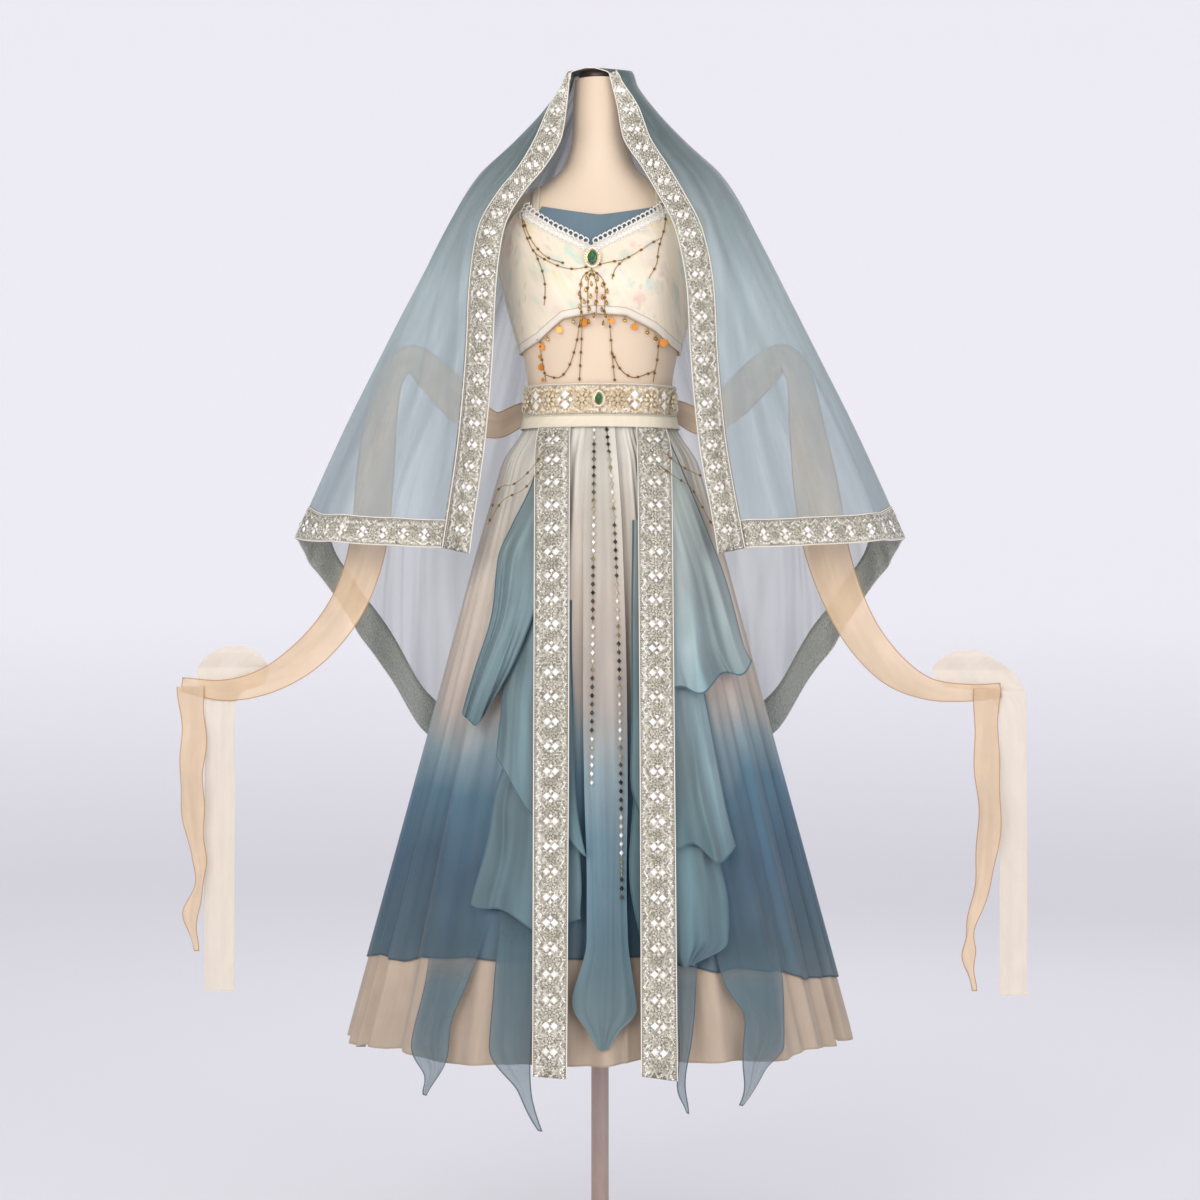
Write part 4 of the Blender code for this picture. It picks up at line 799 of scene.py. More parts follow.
def mosaic_finish(name, stops, scale):
    """Net worked all over with seed beads: cells of mixed tones, each darker towards its rim and in
    the grooves, a painted shade round every bead.
    """
    made, tree, shader = blank(name, 0.35, 0.25)
    bead = cells(tree, cut_place(tree), scale, 0.7)
    pick = node(tree, "ShaderNodeSeparateColor", {0: bead["Color"]}).outputs[0]
    dome_and_shade = ranged(tree, bead["Distance"], 0.65, 0.1)
    # Painted shade: each bead's colour falls to the darkest stop towards its rim; the same value is the
    # bead's bump.
    base = mixed(tree, dome_and_shade, srgb(stops[0][1]), ramp(tree, pick, stops))
    tree.links.new(base, shader.inputs["Base Color"])
    tree.links.new(ranged(tree, pick, 0.0, 1.0, 0.25, 0.6), shader.inputs["Roughness"])
    bump(tree, shader, dome_and_shade, 0.0008, 0.9)
    return made


def cover_finish():
    """Fine beige jersey stretched over the form."""
    made, tree, shader = blank("form_jersey", 0.7, Sheen_Weight=0.2)
    place = object_place(tree)
    cloud = ramp(tree, noise(tree, place, 7.0)[0], ((0.3, "DFCAB1"), (0.7, "E7D3BC")))
    tree.links.new(cloud, shader.inputs["Base Color"])
    bump(tree, shader, noise(tree, place, 900.0)[0], 0.0004, 0.5)
    return made


SILVER = ((0.0, "7C776A"), (0.25, "AAA596"), (0.5, "CAC5B5"), (0.75, "EBE8DD"), (1.0, "FFFFFF"))
CHAMPAGNE = ((0.0, "A58E6C"), (0.25, "CDB793"), (0.5, "E6D6B7"), (0.75, "F5ECD8"), (1.0, "FFFDF5"))
GOLD = ((0.0, "5E431F"), (0.4, "9C7436"), (0.75, "D2AE64"), (1.0, "F4E3B4"))

finish = {
    "jersey": cover_finish(),
    "wood": grained_finish("cap_walnut", "33241D", "5A443A", 0.4, 60.0, (1.0, 1.0, 6.0)),
    "stand": grained_finish("stand_paint", "A8948C", "BAA79F", 0.38, 40.0, (1.0, 1.0, 0.2), 0.25),
    "print": print_finish("flower_satin"),
    "teal": cloth_finish("slate_crepe", "657C88", 0.6, thread=0.0009, clouds=0.2, Sheen_Weight=0.2),
    "lace": cloth_finish("lace_thread", "FBF8F1", 0.65, thread=0.0007, relief=0.0003),
    "strap": cloth_finish("strap_satin", "DDD2BB", 0.4, crease=0.2),
    "waist": cloth_finish("waistband_satin", "E9E0C8", 0.42, crease=0.35, clouds=0.1, Sheen_Weight=0.2),
    "net": mosaic_finish("trim_mosaic", SILVER, 520.0),
    "belt_net": mosaic_finish("belt_mosaic", CHAMPAGNE, 480.0),
    # Painted light: the back edging is the same trim in lighter, cooler tones, to make up for the shade it
    # lies in inside the veil.
    "back_net_painted_light": mosaic_finish("back_trim_mosaic_painted_light", ((0.0, "A9AFA9"), (0.5, "CDD1C9"), (1.0, "F0F0EA")),
                              420.0),
    "skirt": cloth_finish(
        "skirt_chiffon",
        ((0.12, "586A71"), (0.20, "405966"), (0.33, "35556A"), (0.43, "456A7D"), (0.50, "788D95"),
         (0.58, "B6AAA0"), (0.70, "CDBFB1"), (0.84, "D3CABD"), (1.0, "DCDAD0")),
        0.5, mottle=0.05, hem="33454F", dye=(0.30, 1.33, 0.16), clouds=0.38, painted_turn_shade=0.7, folds=0.30,
        Sheen_Weight=0.15),
    "lining": cloth_finish("lining_chiffon", "B7A592", 0.6, crease=0.7, clouds=0.3, painted_turn_shade=0.6,
                           hem="A6967F", Sheen_Weight=0.2),
    "centre": cloth_finish(
        "centre_chiffon",
        ((0.05, "63797F"), (0.18, "53737F"), (0.32, "638290"), (0.42, "8A9CA3"), (0.52, "A59E97"),
         (0.70, "BFB4A8"), (0.86, "CBC4B7"), (1.0, "D6D3C8")),
        0.5, mottle=0.05, dye=(0.36, 1.33, 0.12), clouds=0.25, painted_turn_shade=0.8, folds=0.34,
        Sheen_Weight=0.25),
    "cascade_left": cascade_finish("cascade_chiffon_left", (
        (0.0, "4B6872"), (0.25, "59767E"), (0.50, "6C868C"), (0.75, "7D9497"), (1.0, "9AA8A3"))),
    # Painted highlight: the right cascades are the same chiffon as the left, lighter towards the top.
    "cascade_right": cascade_finish("cascade_chiffon_right_painted_highlight", (
        (0.0, "4B6872"), (0.25, "5F7D84"), (0.50, "7F979C"), (0.75, "ABB8B5"), (1.0, "BDC4BB"))),
    "tail": cloth_finish(
        "tail_chiffon", ((0.0, "647C86"), (0.5, "4F6D79"), (1.0, "435F6A")), 0.5, sheer=(0.62, 0.86),
        mottle=0.06, hem="3B4F5D", hem_width=0.0018, dye=(0.25, 0.62, 0.05), clouds=0.4, painted_turn_shade=0.8,
        fade=0.11, Sheen_Weight=0.3),
    "veil": cloth_finish("veil_chiffon", (
        (0.0, "9DB2B9"), (0.45, "A8BCC0"), (0.72, "869A9C"), (0.88, "637879"), (1.0, "526768")), 0.55,
        sheer=(0.56, 0.90), mottle=0.05, hem="5C6E75", hem_width=0.002, dye=(1.30, 1.80, 0.10),
        clouds=0.25, painted_turn_shade=0.5, folds=0.34, inside="B4BEC0", Sheen_Weight=0.3),
    "sash": cloth_finish("sash_chiffon", "E0C29D", 0.5, sheer=(0.86, 0.86), mottle=0.10, folds=0.20,
                         hem="B0875F", hem_width=0.0014, crease=0.9, clouds=0.3, painted_turn_shade=0.6,
                         Sheen_Weight=0.3),
    "pale": cloth_finish("sash_pale", "E8DBC7", 0.55, sheer=(0.74, 0.74), mottle=0.06, hem="E2D3BA",
                         hem_width=0.0012, clouds=0.15, Sheen_Weight=0.3),
    "piping": cloth_finish("piping_cord", "EFEADD", 0.5, crease=0.1),
    "silver": toned_finish("silver_sequins", SILVER, 0.32, 0.15),
    "champagne": toned_finish("champagne_sequins", CHAMPAGNE, 0.32, 0.15),
    "gold": toned_finish("gold_metal", GOLD, 0.25, 0.8),
    "amber": toned_finish("amber_coins", ((0.0, "A85A22"), (0.5, "DB8A38"), (1.0, "EBA650")), 0.3, 0.45),
    "crystal": toned_finish("clear_crystals", ((0.0, "CFC6B6"), (0.6, "EFEADF"), (1.0, "FFFFFF")), 0.12,
                            0.1, Coat_Weight=0.6),
    # Painted reflections: tones run from near black to white, standing in for the glints of mirror sequins.
    "lozenge": toned_finish("lozenge_sequins_painted_glints", ((0.0, "1E2A28"), (0.35, "57594E"), (0.6, "A3956F"),
                                                (0.8, "E3DDCB"), (1.0, "FFFFFF")), 0.15, 0.5),
    "stone": toned_finish("green_stone", ((0.0, "02241A"), (0.6, "044A2B"), (1.0, "128A54")), 0.05, 0.0,
                          Coat_Weight=1.0, Coat_Roughness=0.03),
}


# Sewn pieces: sequins, beads, coins and loops

def make_sewing():
    """Geometry nodes that put one shape on each spot, turned to the spot's facing and along."""
    tree = bpy.data.node_groups.new("sewn_pieces", "GeometryNodeTree")
    for label, kind, way in (("Spots", "Geometry", "INPUT"), ("Shape", "Object", "INPUT"),
                             ("Size", "Float", "INPUT"), ("Tilt", "Float", "INPUT"),
                             ("Seed", "Int", "INPUT"), ("Finish", "Material", "INPUT"),
                             ("Sewn", "Geometry", "OUTPUT")):
        tree.interface.new_socket(label, in_out=way, socket_type="NodeSocket" + kind)
    given = tree.nodes.new("NodeGroupInput").outputs
    out = tree.nodes.new("NodeGroupOutput").inputs

    def named(label, kind):
        return node(tree, "GeometryNodeInputNamedAttribute", {"Name": label}, data_type=kind).outputs[0]

    shape = node(tree, "GeometryNodeObjectInfo", {"Object": given["Shape"]}).outputs["Geometry"]
    lean = node(tree, "FunctionNodeRandomValue", {0: (-1, -1, -1), 1: (1, 1, 1), "Seed": given["Seed"]},
                data_type="FLOAT_VECTOR").outputs[0]
    lean = node(tree, "ShaderNodeVectorMath", {0: lean, "Scale": given["Tilt"]}, operation="SCALE")
    facing = node(tree, "ShaderNodeVectorMath", {0: named("facing", "FLOAT_VECTOR"), 1: lean.outputs[0]})
    turn = node(tree, "FunctionNodeAxesToRotation",
                {"Primary Axis": facing.outputs[0], "Secondary Axis": named("along", "FLOAT_VECTOR")},
                primary_axis="Z", secondary_axis="X").outputs[0]
    size = node(tree, "ShaderNodeMath", {0: named("size", "FLOAT"), 1: given["Size"]},
                operation="MULTIPLY").outputs[0]
    placed = node(tree, "GeometryNodeInstanceOnPoints",
                  {"Points": given["Spots"], "Instance": shape, "Rotation": turn, "Scale": size})
    whole = node(tree, "GeometryNodeRealizeInstances", {0: placed.outputs[0]})
    done = node(tree, "GeometryNodeSetMaterial", {"Geometry": whole.outputs[0],
                                                  "Material": given["Finish"]})
    tree.links.new(done.outputs[0], out["Sewn"])
    return tree


SEWING = make_sewing()


def shape_disc(sides=5, rise=0.35):
    """A small cupped sequin of radius 1."""
    points = [(cos(a), sin(a), 0.0) for a in full_turn(sides)] + [(0, 0, rise)]
    return points, [(k, (k + 1) % sides, sides) for k in range(sides)], False


def shape_lozenge(long=1.4):
    """A faceted lozenge with a small table."""
    outer = [(long, 0, 0), (0, 1, 0), (-long, 0, 0), (0, -1, 0)]
    inner = [(long * 0.45, 0, 0.32), (0, 0.45, 0.32), (-long * 0.45, 0, 0.32), (0, -0.45, 0.32)]
    faces = [(4, 5, 6, 7), (3, 2, 1, 0)] + [(k, (k + 1) % 4, 4 + (k + 1) % 4, 4 + k) for k in range(4)]
    return outer + inner, faces, False


def shape_bead(sides=6):
    """A round bead of radius 1."""
    points = [(0, 0, 1)] + [(sin(b) * cos(a), sin(b) * sin(a), cos(b))
                            for b in (pi / 4, pi / 2, 3 * pi / 4)
                            for a in full_turn(sides)] + [(0, 0, -1)]
    faces = [(0, 1 + k, 1 + (k + 1) % sides) for k in range(sides)] + between_rings(3, sides, 1)
    last = 1 + 3 * sides
    faces += [(last, last - sides + (k + 1) % sides, last - sides + k) for k in range(sides)]
    return points, faces, True


def shape_rosette(petals=8):
    """A flat flower of sequins of radius 1 round a raised centre."""
    points, faces = [(0, 0, 0.42)], []
    for k in range(petals):
        a = 2 * pi * k / petals
        half = pi / petals * 0.9
        first = len(points)
        points += [(0.34 * cos(a), 0.34 * sin(a), 0.16), (0.78 * cos(a - half), 0.78 * sin(a - half), 0.06),
                   (cos(a), sin(a), 0.0), (0.78 * cos(a + half), 0.78 * sin(a + half), 0.06),
                   (0.68 * cos(a), 0.68 * sin(a), 0.26)]
        faces += [(first, first + 1, first + 4), (first + 1, first + 2, first + 4),
                  (first + 2, first + 3, first + 4), (first + 3, first, first + 4)]
    faces += [(0, 1 + 5 * k, 1 + 5 * ((k + 1) % petals)) for k in range(petals)]
    return points, faces, False


def shape_loop(sides=9, thick=0.26):
    """A worked loop of thread of radius 1."""
    points, faces = [], []
    for k in range(sides):
        a = 2 * pi * k / sides
        for b in range(4):
            c = pi / 2 * b
            points.append(((1 + thick * cos(c)) * cos(a), (1 + thick * cos(c)) * sin(a), thick * sin(c)))
    for k in range(sides):
        for b in range(4):
            e, f = 4 * k, 4 * ((k + 1) % sides)
            faces.append((e + b, f + b, f + (b + 1) % 4, e + (b + 1) % 4))
    return points, faces, True


def shape_coin(sides=14):
    """A thin coin of radius 1 with a raised rim."""
    levels = ((1.0, 0.0), (1.0, 0.14), (0.84, 0.14), (0.78, 0.07))
    points = [(r * cos(a), r * sin(a), z) for r, z in levels for a in full_turn(sides)] + [(0, 0, 0.07)]
    faces = [tuple(reversed(range(sides)))] + between_rings(len(levels), sides, down=False)
    faces += [(3 * sides + k, 3 * sides + (k + 1) % sides, 4 * sides) for k in range(sides)]
    return points, faces, False


def shape_drop(sides=7):
    """A drop that hangs down its own X axis from its point."""
    rings = ((0.25, 0.16), (0.9, 0.42), (1.5, 0.50), (1.9, 0.30))
    points = [(0, 0, 0)] + [(x, r * cos(a), r * 0.6 * sin(a)) for x, r in rings
                            for a in full_turn(sides)] + [(2.05, 0, 0)]
    faces = [(0, 1 + (k + 1) % sides, 1 + k) for k in range(sides)]
    faces += between_rings(len(rings), sides, 1, down=False)
    last = 1 + len(rings) * sides
    faces += [(last, last - sides + k, last - sides + (k + 1) % sides) for k in range(sides)]
    return points, faces, True


def spots(places, facing, along, size=1.0, tone=0.5):
    """Spots for sewing: places with directions, and a size and tone that may be one for all."""
    places = np.asarray(places, dtype=float).reshape(-1, 3)
    count = len(places)
    full = [np.broadcast_to(np.asarray(value, dtype=float), (count, 3)) for value in (facing, along)]
    return (places, *full, *[np.broadcast_to(np.asarray(value, dtype=float), (count,))
                             for value in (size, tone)])


def sew(name, sets, shape, material, slot, tilt=0.0, seed=1, nodes=()):
    """Put a shape on every spot of the sets, as one plain mesh."""
    places, facing, along, size, tone = [np.concatenate(parts) for parts in zip(*sets)]
    points, faces, smooth = shape
    sample = new_piece(name + "_sample", points, faces, material, smooth)
    mesh = bpy.data.meshes.new(name)
    mesh.from_pydata(places.tolist(), [], [])
    for label, kind, values in (("facing", "FLOAT_VECTOR", facing), ("along", "FLOAT_VECTOR", along),
                                ("size", "FLOAT", size), ("tone", "FLOAT", tone)):
        attribute = mesh.attributes.new(label, kind, "POINT")
        field = "vector" if kind == "FLOAT_VECTOR" else "value"
        attribute.data.foreach_set(field, values.astype(np.float32).ravel())
    obj = bpy.data.objects.new(name, mesh)
    bpy.context.scene.collection.objects.link(obj)
    modifier = obj.modifiers.new("sewing", "NODES")
    modifier.node_group = SEWING
    values = {"Shape": sample, "Size": 1.0, "Tilt": tilt, "Seed": seed, "Finish": material}
    for item in SEWING.interface.items_tree:
        if item.name in values:
            modifier[item.identifier] = values[item.name]
    bpy.context.view_layer.update()
    made = bpy.data.meshes.new_from_object(obj.evaluated_get(bpy.context.evaluated_depsgraph_get()))
    obj.modifiers.clear()
    obj.data = made
    bpy.data.objects.remove(sample)
    return belongs(obj, slot, *nodes)


# The dress form

def torso_axes(heights):
    return soft_column(TORSO_SECTIONS, heights, 1), soft_column(TORSO_SECTIONS, heights, 2)


def on_torso(angle, height, lift=0.0, between=BETWEEN_ON_FORM):
    """Points on the form: the angle is 0 at the front and grows towards +X."""
    half_width, half_depth = torso_axes(height)
    x = (half_width + lift) * np.sin(angle)
    y = -(half_depth + lift) * np.cos(angle)
    spread = np.where(np.abs(x) < BUST_X, between, BUST_SPREAD_X)
    across = ((np.abs(x) - BUST_X) / spread) ** 2
    up = ((height - BUST_Z) / BUST_SPREAD_Z) ** 2
    y = y - np.where(np.cos(angle) > 0, BUST_RISE * np.exp(-across - up) * np.cos(angle), 0)
    return np.stack([x, y, np.broadcast_to(height, x.shape)], axis=-1)


def make_form():
    heights = np.linspace(TORSO_SECTIONS[0][0], TORSO_SECTIONS[-1][0], 110)
    rings = on_torso(full_turn(72)[None, :], heights[:, None])
    belongs(lofted("form_cover", rings, finish["jersey"]), "form_cover", "form_torso")
    cap = ((CAP_RADIUS - 0.006, CAP_TOP), (CAP_RADIUS - 0.0025, CAP_TOP - 0.001),
           (CAP_RADIUS - 0.0005, CAP_TOP - 0.003), (CAP_RADIUS, CAP_TOP - 0.006),
           (CAP_RADIUS, NECK_TOP + 0.003), (CAP_RADIUS - 0.001, NECK_TOP))
    belongs(turned("neck_cap", cap, 48, finish["wood"]), "cap_wood", "form_cap")
    pole = ((POLE_RADIUS, TORSO_SECTIONS[-1][0] - SEAM_GAP), (POLE_RADIUS, BASE_HEIGHT + 0.0104))
    belongs(turned("stand_pole", pole, 40, finish["stand"]), "stand_metal", "form_pole")
    base = ((0.026, BASE_HEIGHT + 0.010), (0.0275, BASE_HEIGHT + 0.0085), (0.034, BASE_HEIGHT),
            (BASE_RADIUS - 0.006, BASE_HEIGHT), (BASE_RADIUS - 0.002, BASE_HEIGHT - 0.0015),
            (BASE_RADIUS, BASE_HEIGHT - 0.006), (BASE_RADIUS, 0.0))
    belongs(turned("stand_base", base, 96, finish["stand"]), "stand_metal", "form_base")


# The top

def bodice_surface(x, z, lift):
    return on_torso(np.arcsin(x / torso_axes(BUST_Z)[0]), z, lift, BETWEEN_IN_TOP)


def bodice_edges(x):
    edges = np.array(BODICE_EDGES)
    return np.interp(x, edges[:, 0], edges[:, 1]), np.interp(x, edges[:, 0], edges[:, 2])


def make_top():
    ends = BODICE_EDGES[0][0], BODICE_EDGES[-1][0]
    strap_x = BODICE_EDGES[2][0], BODICE_EDGES[6][0]
    middle = BODICE_EDGES[4][0]
    x = np.unique(np.concatenate([np.linspace(*ends, 84), strap_x, [middle]]))
    top, hem = bodice_edges(x)
    share = np.linspace(1, 0, 36)[:, None]
    heights = hem + share * (top - hem)
    grid = bodice_surface(np.broadcast_to(x, heights.shape), heights, ON_TOP)
    away = np.abs(grid[..., 0] - middle)
    creases = np.sin((heights - NECK_GATHERS_Z) * 260 + away * 30) * np.exp(-(away / 0.030) ** 2) * 0.0006
    grid[..., 1] -= np.abs(creases) * share * (1 - share) * 4
    dressed("bodice_front", "top_satin", grid, finish["print"], thickness=TOP_SHELL, hem_only=True)

    side = asin(ends[1] / torso_axes(BUST_Z)[0]) + 0.004
    angle = np.linspace(side, 2 * pi - side, 90)[None, :]
    away = np.minimum(angle - side, 2 * pi - side - angle) / (pi - side)
    top = BODICE_BACK_TOP + (BODICE_EDGES[0][1] - BODICE_BACK_TOP) * (1 - away) ** 4
    heights = BODICE_EDGES[0][2] + np.linspace(1, 0, 24)[:, None] * (top - BODICE_EDGES[0][2])
    grid = on_torso(np.broadcast_to(angle, heights.shape), heights, ON_TOP)
    dressed("bodice_back", "top_satin", grid, finish["print"], thickness=TOP_SHELL, hem_only=True)

    for word, spot in (("left", strap_x[0] * 0.93), ("right", strap_x[1])):
        dressed("strap_" + word, "top_satin", strap_grid(spot), finish["strap"], facing=(0, 0, 1),
                thickness=CHIFFON)

    panel_x = np.linspace(*PANEL_ENDS, 49)
    edge = PANEL_TOP + PANEL_RISE * (np.abs(panel_x) / PANEL_ENDS[1]) ** 1.2
    heights = edge - np.linspace(0, PANEL_DROP, 16)[:, None]
    angle = np.arcsin(panel_x / torso_axes(BUST_Z)[0])
    grid = on_torso(np.broadcast_to(angle, heights.shape), heights, PANEL_LIFT + CHIFFON, BETWEEN_UNDER_TOP)
    belongs(cloth("modesty_cloth", grid, finish["teal"]), "panel_teal", "modesty_panel")

    loops, picots = [], []
    for word, low, high in (("left", strap_x[0], middle - SEAM_GAP),
                            ("right", middle + SEAM_GAP, strap_x[1])):
        line = np.linspace(low, high, 60)
        top, _ = bodice_edges(line)
        heights = top - np.linspace(LACE_WIDTH * 0.42, LACE_WIDTH * 0.84, 5)[:, None]
        grid = bodice_surface(np.broadcast_to(line, heights.shape), heights, ON_TOP + 0.0012)
        belongs(cloth("lace_" + word + "_ground", grid, finish["lace"]), "white_lace", "lace_" + word)
        for row, drop in enumerate((-0.0030, 0.0030, 0.0082, 0.0130)):
            count = 2 * int(abs(high - low) / 0.0064 / 2) + (row % 2)
            spread = np.linspace(low, high, count + 2)[1:-1]
            top, _ = bodice_edges(spread)
            places = bodice_surface(spread, top - drop, ON_TOP + 0.0016)
            loops.append(spots(places, FRONT, ACROSS, 0.0034 if row else 0.0046))
            if row == 0:
                tips = bodice_surface(spread, top + 0.0080, ON_TOP + 0.0016)
                picots.append(spots(tips, FRONT, ACROSS, 0.0017))
    sew("lace_loops", loops, shape_loop(), finish["lace"], "white_lace")
    sew("lace_picots", picots, shape_bead(), finish["lace"], "white_lace")


def strap_grid(spot):
    start_z = BODICE_EDGES[2][1] - STRAP_TUCK
    half_width, half_depth = torso_axes(start_z)
    start = np.array([-half_depth * np.sqrt(1 - (spot / half_width) ** 2), start_z])
    end_z = BODICE_BACK_TOP + STRAP_SEAT
    half_width, half_depth = torso_axes(end_z)
    end = np.array([half_depth * np.sqrt(1 - (spot / half_width) ** 2), end_z])
    first = np.arctan2(start[1] - STRAP_CENTRE_Z, start[0])
    last = np.arctan2(end[1] - STRAP_CENTRE_Z, end[0])
    rows = []
    for angle in np.linspace(first, last, 60):
        row = []
        for x in np.linspace(spot - STRAP_HALF_WIDTH, spot + STRAP_HALF_WIDTH, 5):
            reach = torso_reach(x, angle) + STRAP_LIFT
            row.append((x, reach * cos(angle), STRAP_CENTRE_Z + reach * sin(angle)))
        rows.append(row)
    return np.array(rows)


def torso_reach(x, angle):
    """Distance from the shoulder's centre line to the form's surface, in the plane at x."""
    low, high = 0.0, 0.3
    for _ in range(24):
        middle = (low + high) / 2
        half_width, half_depth = torso_axes(STRAP_CENTRE_Z + middle * sin(angle))
        inside = (x / half_width) ** 2 + (middle * cos(angle) / half_depth) ** 2 < 1
        low, high = (middle, high) if inside else (low, middle)
    return low


# Strips of trim

class Strip:
    """A long strip of cloth, with places on it in metres along and from -1 to 1 across."""

    def __init__(self, grid, facing=None):
        self.grid = grid
        self.normals = grid_normals(grid, facing=facing)
        self.along = unit(np.gradient(grid, axis=0))
        self.marks = lengths_along(grid[:, grid.shape[1] // 2])
        self.length = self.marks[-1]
        self.half_width = np.linalg.norm(grid[:, -1] - grid[:, 0], axis=1) / 2

    def read(self, along, across, lift=0.0):
        rows, columns = self.grid.shape[:2]
        row = np.interp(along, self.marks, np.arange(rows))
        column = np.clip((np.asarray(across) + 1) / 2 * (columns - 1), 0, columns - 1)
        i = np.minimum(row.astype(int), rows - 2)
        j = np.minimum(column.astype(int), columns - 2)
        f, g = (row - i)[:, None], (column - j)[:, None]

        def mix(table):
            return ((1 - f) * ((1 - g) * table[i, j] + g * table[i, j + 1])
                    + f * ((1 - g) * table[i + 1, j] + g * table[i + 1, j + 1]))

        facing = unit(mix(self.normals))
        return mix(self.grid) + facing * lift, facing, unit(mix(self.along))

    def widths(self, along):
        return np.interp(along, self.marks, self.half_width)


def edging(strip, seed, repeat, pitch, rosette, diamond):
    """Places for a trim's sewn pieces: a mosaic of sequins with a zigzag, pairs of crystals that
    touch, rosettes between them, a dark bead in each rosette's middle, and rows of edge beads."""
    rng = np.random.default_rng(seed)
    number = max(1, round(strip.length / repeat))
    step = strip.length / number
    width = float(strip.widths(np.array([strip.length / 2]))[0])
    pair = diamond * 1.06 / width
    centres = (np.arange(number) + 0.5) * step
    between = np.arange(1, number) * step
    rosettes = spots(*strip.read(centres, np.zeros(number), STONE_LIFT), size=rosette,
                     tone=rng.uniform(0.35, 0.62, number))
    middles = spots(*strip.read(centres, np.zeros(number), MIDDLE_LIFT), size=rosette * 0.20, tone=0.3)
    places, sides = np.tile(between, 2), np.repeat((-pair, pair), len(between))
    diamonds = spots(*strip.read(places, sides, STONE_LIFT), size=diamond,
                     tone=rng.uniform(0.6, 1.0, len(places)))
    reach = diamond * 1.25
    places = np.concatenate([between - reach, between + reach])
    small = spots(*strip.read(places, np.zeros(len(places)), STONE_LIFT), size=diamond * 0.55,
                  tone=rng.uniform(0.4, 1.0, len(places)))
    rows = np.arange(pitch, strip.length - pitch / 2, pitch * 0.88)
    count = int(2 * width * 0.88 / pitch)
    s = np.repeat(rows, count)
    offset = np.tile((0.0, 0.5), len(rows))[:len(rows)]
    t = ((np.arange(count)[None, :] + 0.25 + offset[:, None]) / count * 2 - 1).ravel() * 0.86
    near = np.abs((s / step) % 1 - 0.5) * step
    keep = np.hypot(near, t * width) > rosette * 0.86
    mark = np.abs(((s / step + 0.5) % 1) - 0.5) * step
    keep &= np.hypot(mark, (np.abs(t) - pair) * width) > diamond * 0.75
    keep &= np.hypot(mark - reach, t * width) > diamond * 0.5
    wave = np.abs(((s / step * 2) % 1) * 2 - 1)
    zigzag = np.abs(np.abs(t) - 0.58 - 0.22 * wave)
    tone = np.where(zigzag < 0.07, 0.68, 0.38) + rng.uniform(-0.34, 0.34, len(s))
    flat = spots(*strip.read(s[keep], t[keep], SEQUIN_LIFT), size=pitch * 0.56,
                 tone=np.clip(tone[keep], 0, 1))
    marks = np.arange(0.002, strip.length, EDGE_BEAD_PITCH)
    beads = [spots(*strip.read(marks, np.full(len(marks), side), EDGE_BEAD_LIFT), size=EDGE_BEAD_RADIUS,
                   tone=rng.uniform(0.5, 1.0, len(marks))) for side in (-0.90, 0.90)]
    return {"sequins": [flat], "crystals": [diamonds, small], "rosettes": [rosettes],
            "middles": [middles], "beads": beads}


def sew_edgings(prefix, sets, seed, metal="silver"):
    """The sewn pieces of several trims, each kind as one piece."""
    for number, (kind, shape, material, tilt) in enumerate((
            ("sequins", shape_disc(), metal, 0.22), ("crystals", shape_lozenge(1.0), "crystal", 0.08),
            ("rosettes", shape_rosette(), metal, 0.05), ("middles", shape_bead(), metal, 0.0),
            ("beads", shape_bead(5), "crystal", 0.0))):
        together = sum((group[kind] for group in sets), [])
        sew(prefix + "_" + kind, together, shape, finish[material], "sequin_trim", tilt=tilt,
            seed=seed + number)


def long_edges(strip, lift, across=0.98):
    """Lines along both long edges of a strip, for its piping."""
    marks = np.linspace(0, strip.length, max(8, int(strip.length / 0.008)))
    return [strip.read(marks, np.full(len(marks), side), lift)[0] for side in (-across, across)]


# Belt and waistband

def ring(angle, half_width, half_depth, height):
    x = half_width * np.sin(angle)
    y = -half_depth * np.cos(angle)
    return np.stack([x, y, np.broadcast_to(height, x.shape)], axis=-1)


def make_belt():
    angle = np.linspace(0, 2 * pi, 181)[None, :]
    heights = np.linspace(BELT_TOP, BELT_BOTTOM, 9)[:, None]
    shape = np.ones_like(heights * angle)
    grid = ring(angle * shape, BELT_OUTSIDE[0] * shape, BELT_OUTSIDE[1] * shape, heights)
    dressed("belt", "sequin_trim", grid[:, :-1], finish["belt_net"], closed=True,
            thickness=BELT_THICKNESS)
    strip = Strip(grid.transpose(1, 0, 2))
    sew_edgings("belt", [edging(strip, 11, *BELT_TRIM)], 21, "champagne")
    piping = tubes("belt_piping", long_edges(strip, 0.0006), PIPING_RADIUS, finish["piping"])
    belongs(piping, "white_lace")

    heights = np.linspace(WAISTBAND_TOP, WAISTBAND_BOTTOM, 7)[:, None]
    angle = angle[:, :-1]
    shape = np.ones_like(heights * angle)
    front = np.clip((np.cos(angle) + 0.05) / 0.35, 0, 1)
    lift = 0.0010 + 0.0056 * front * shape + SATIN
    half_width, half_depth, _ = skirt_axes(heights)
    grid = ring(angle * shape, half_width + lift, half_depth + lift, heights)
    dressed("waistband", "waistband_satin", grid, finish["waist"], closed=True, thickness=0.0018)


# The skirt and its layers

def skirt_axes(heights):
    return tuple(soft_column(SKIRT_SECTIONS, heights, k) for k in (1, 2, 3))


def fold_angle(even):
    return even + 0.09 * np.sin(3 * even + 0.7) + 0.05 * np.sin(5 * even + 2.1)


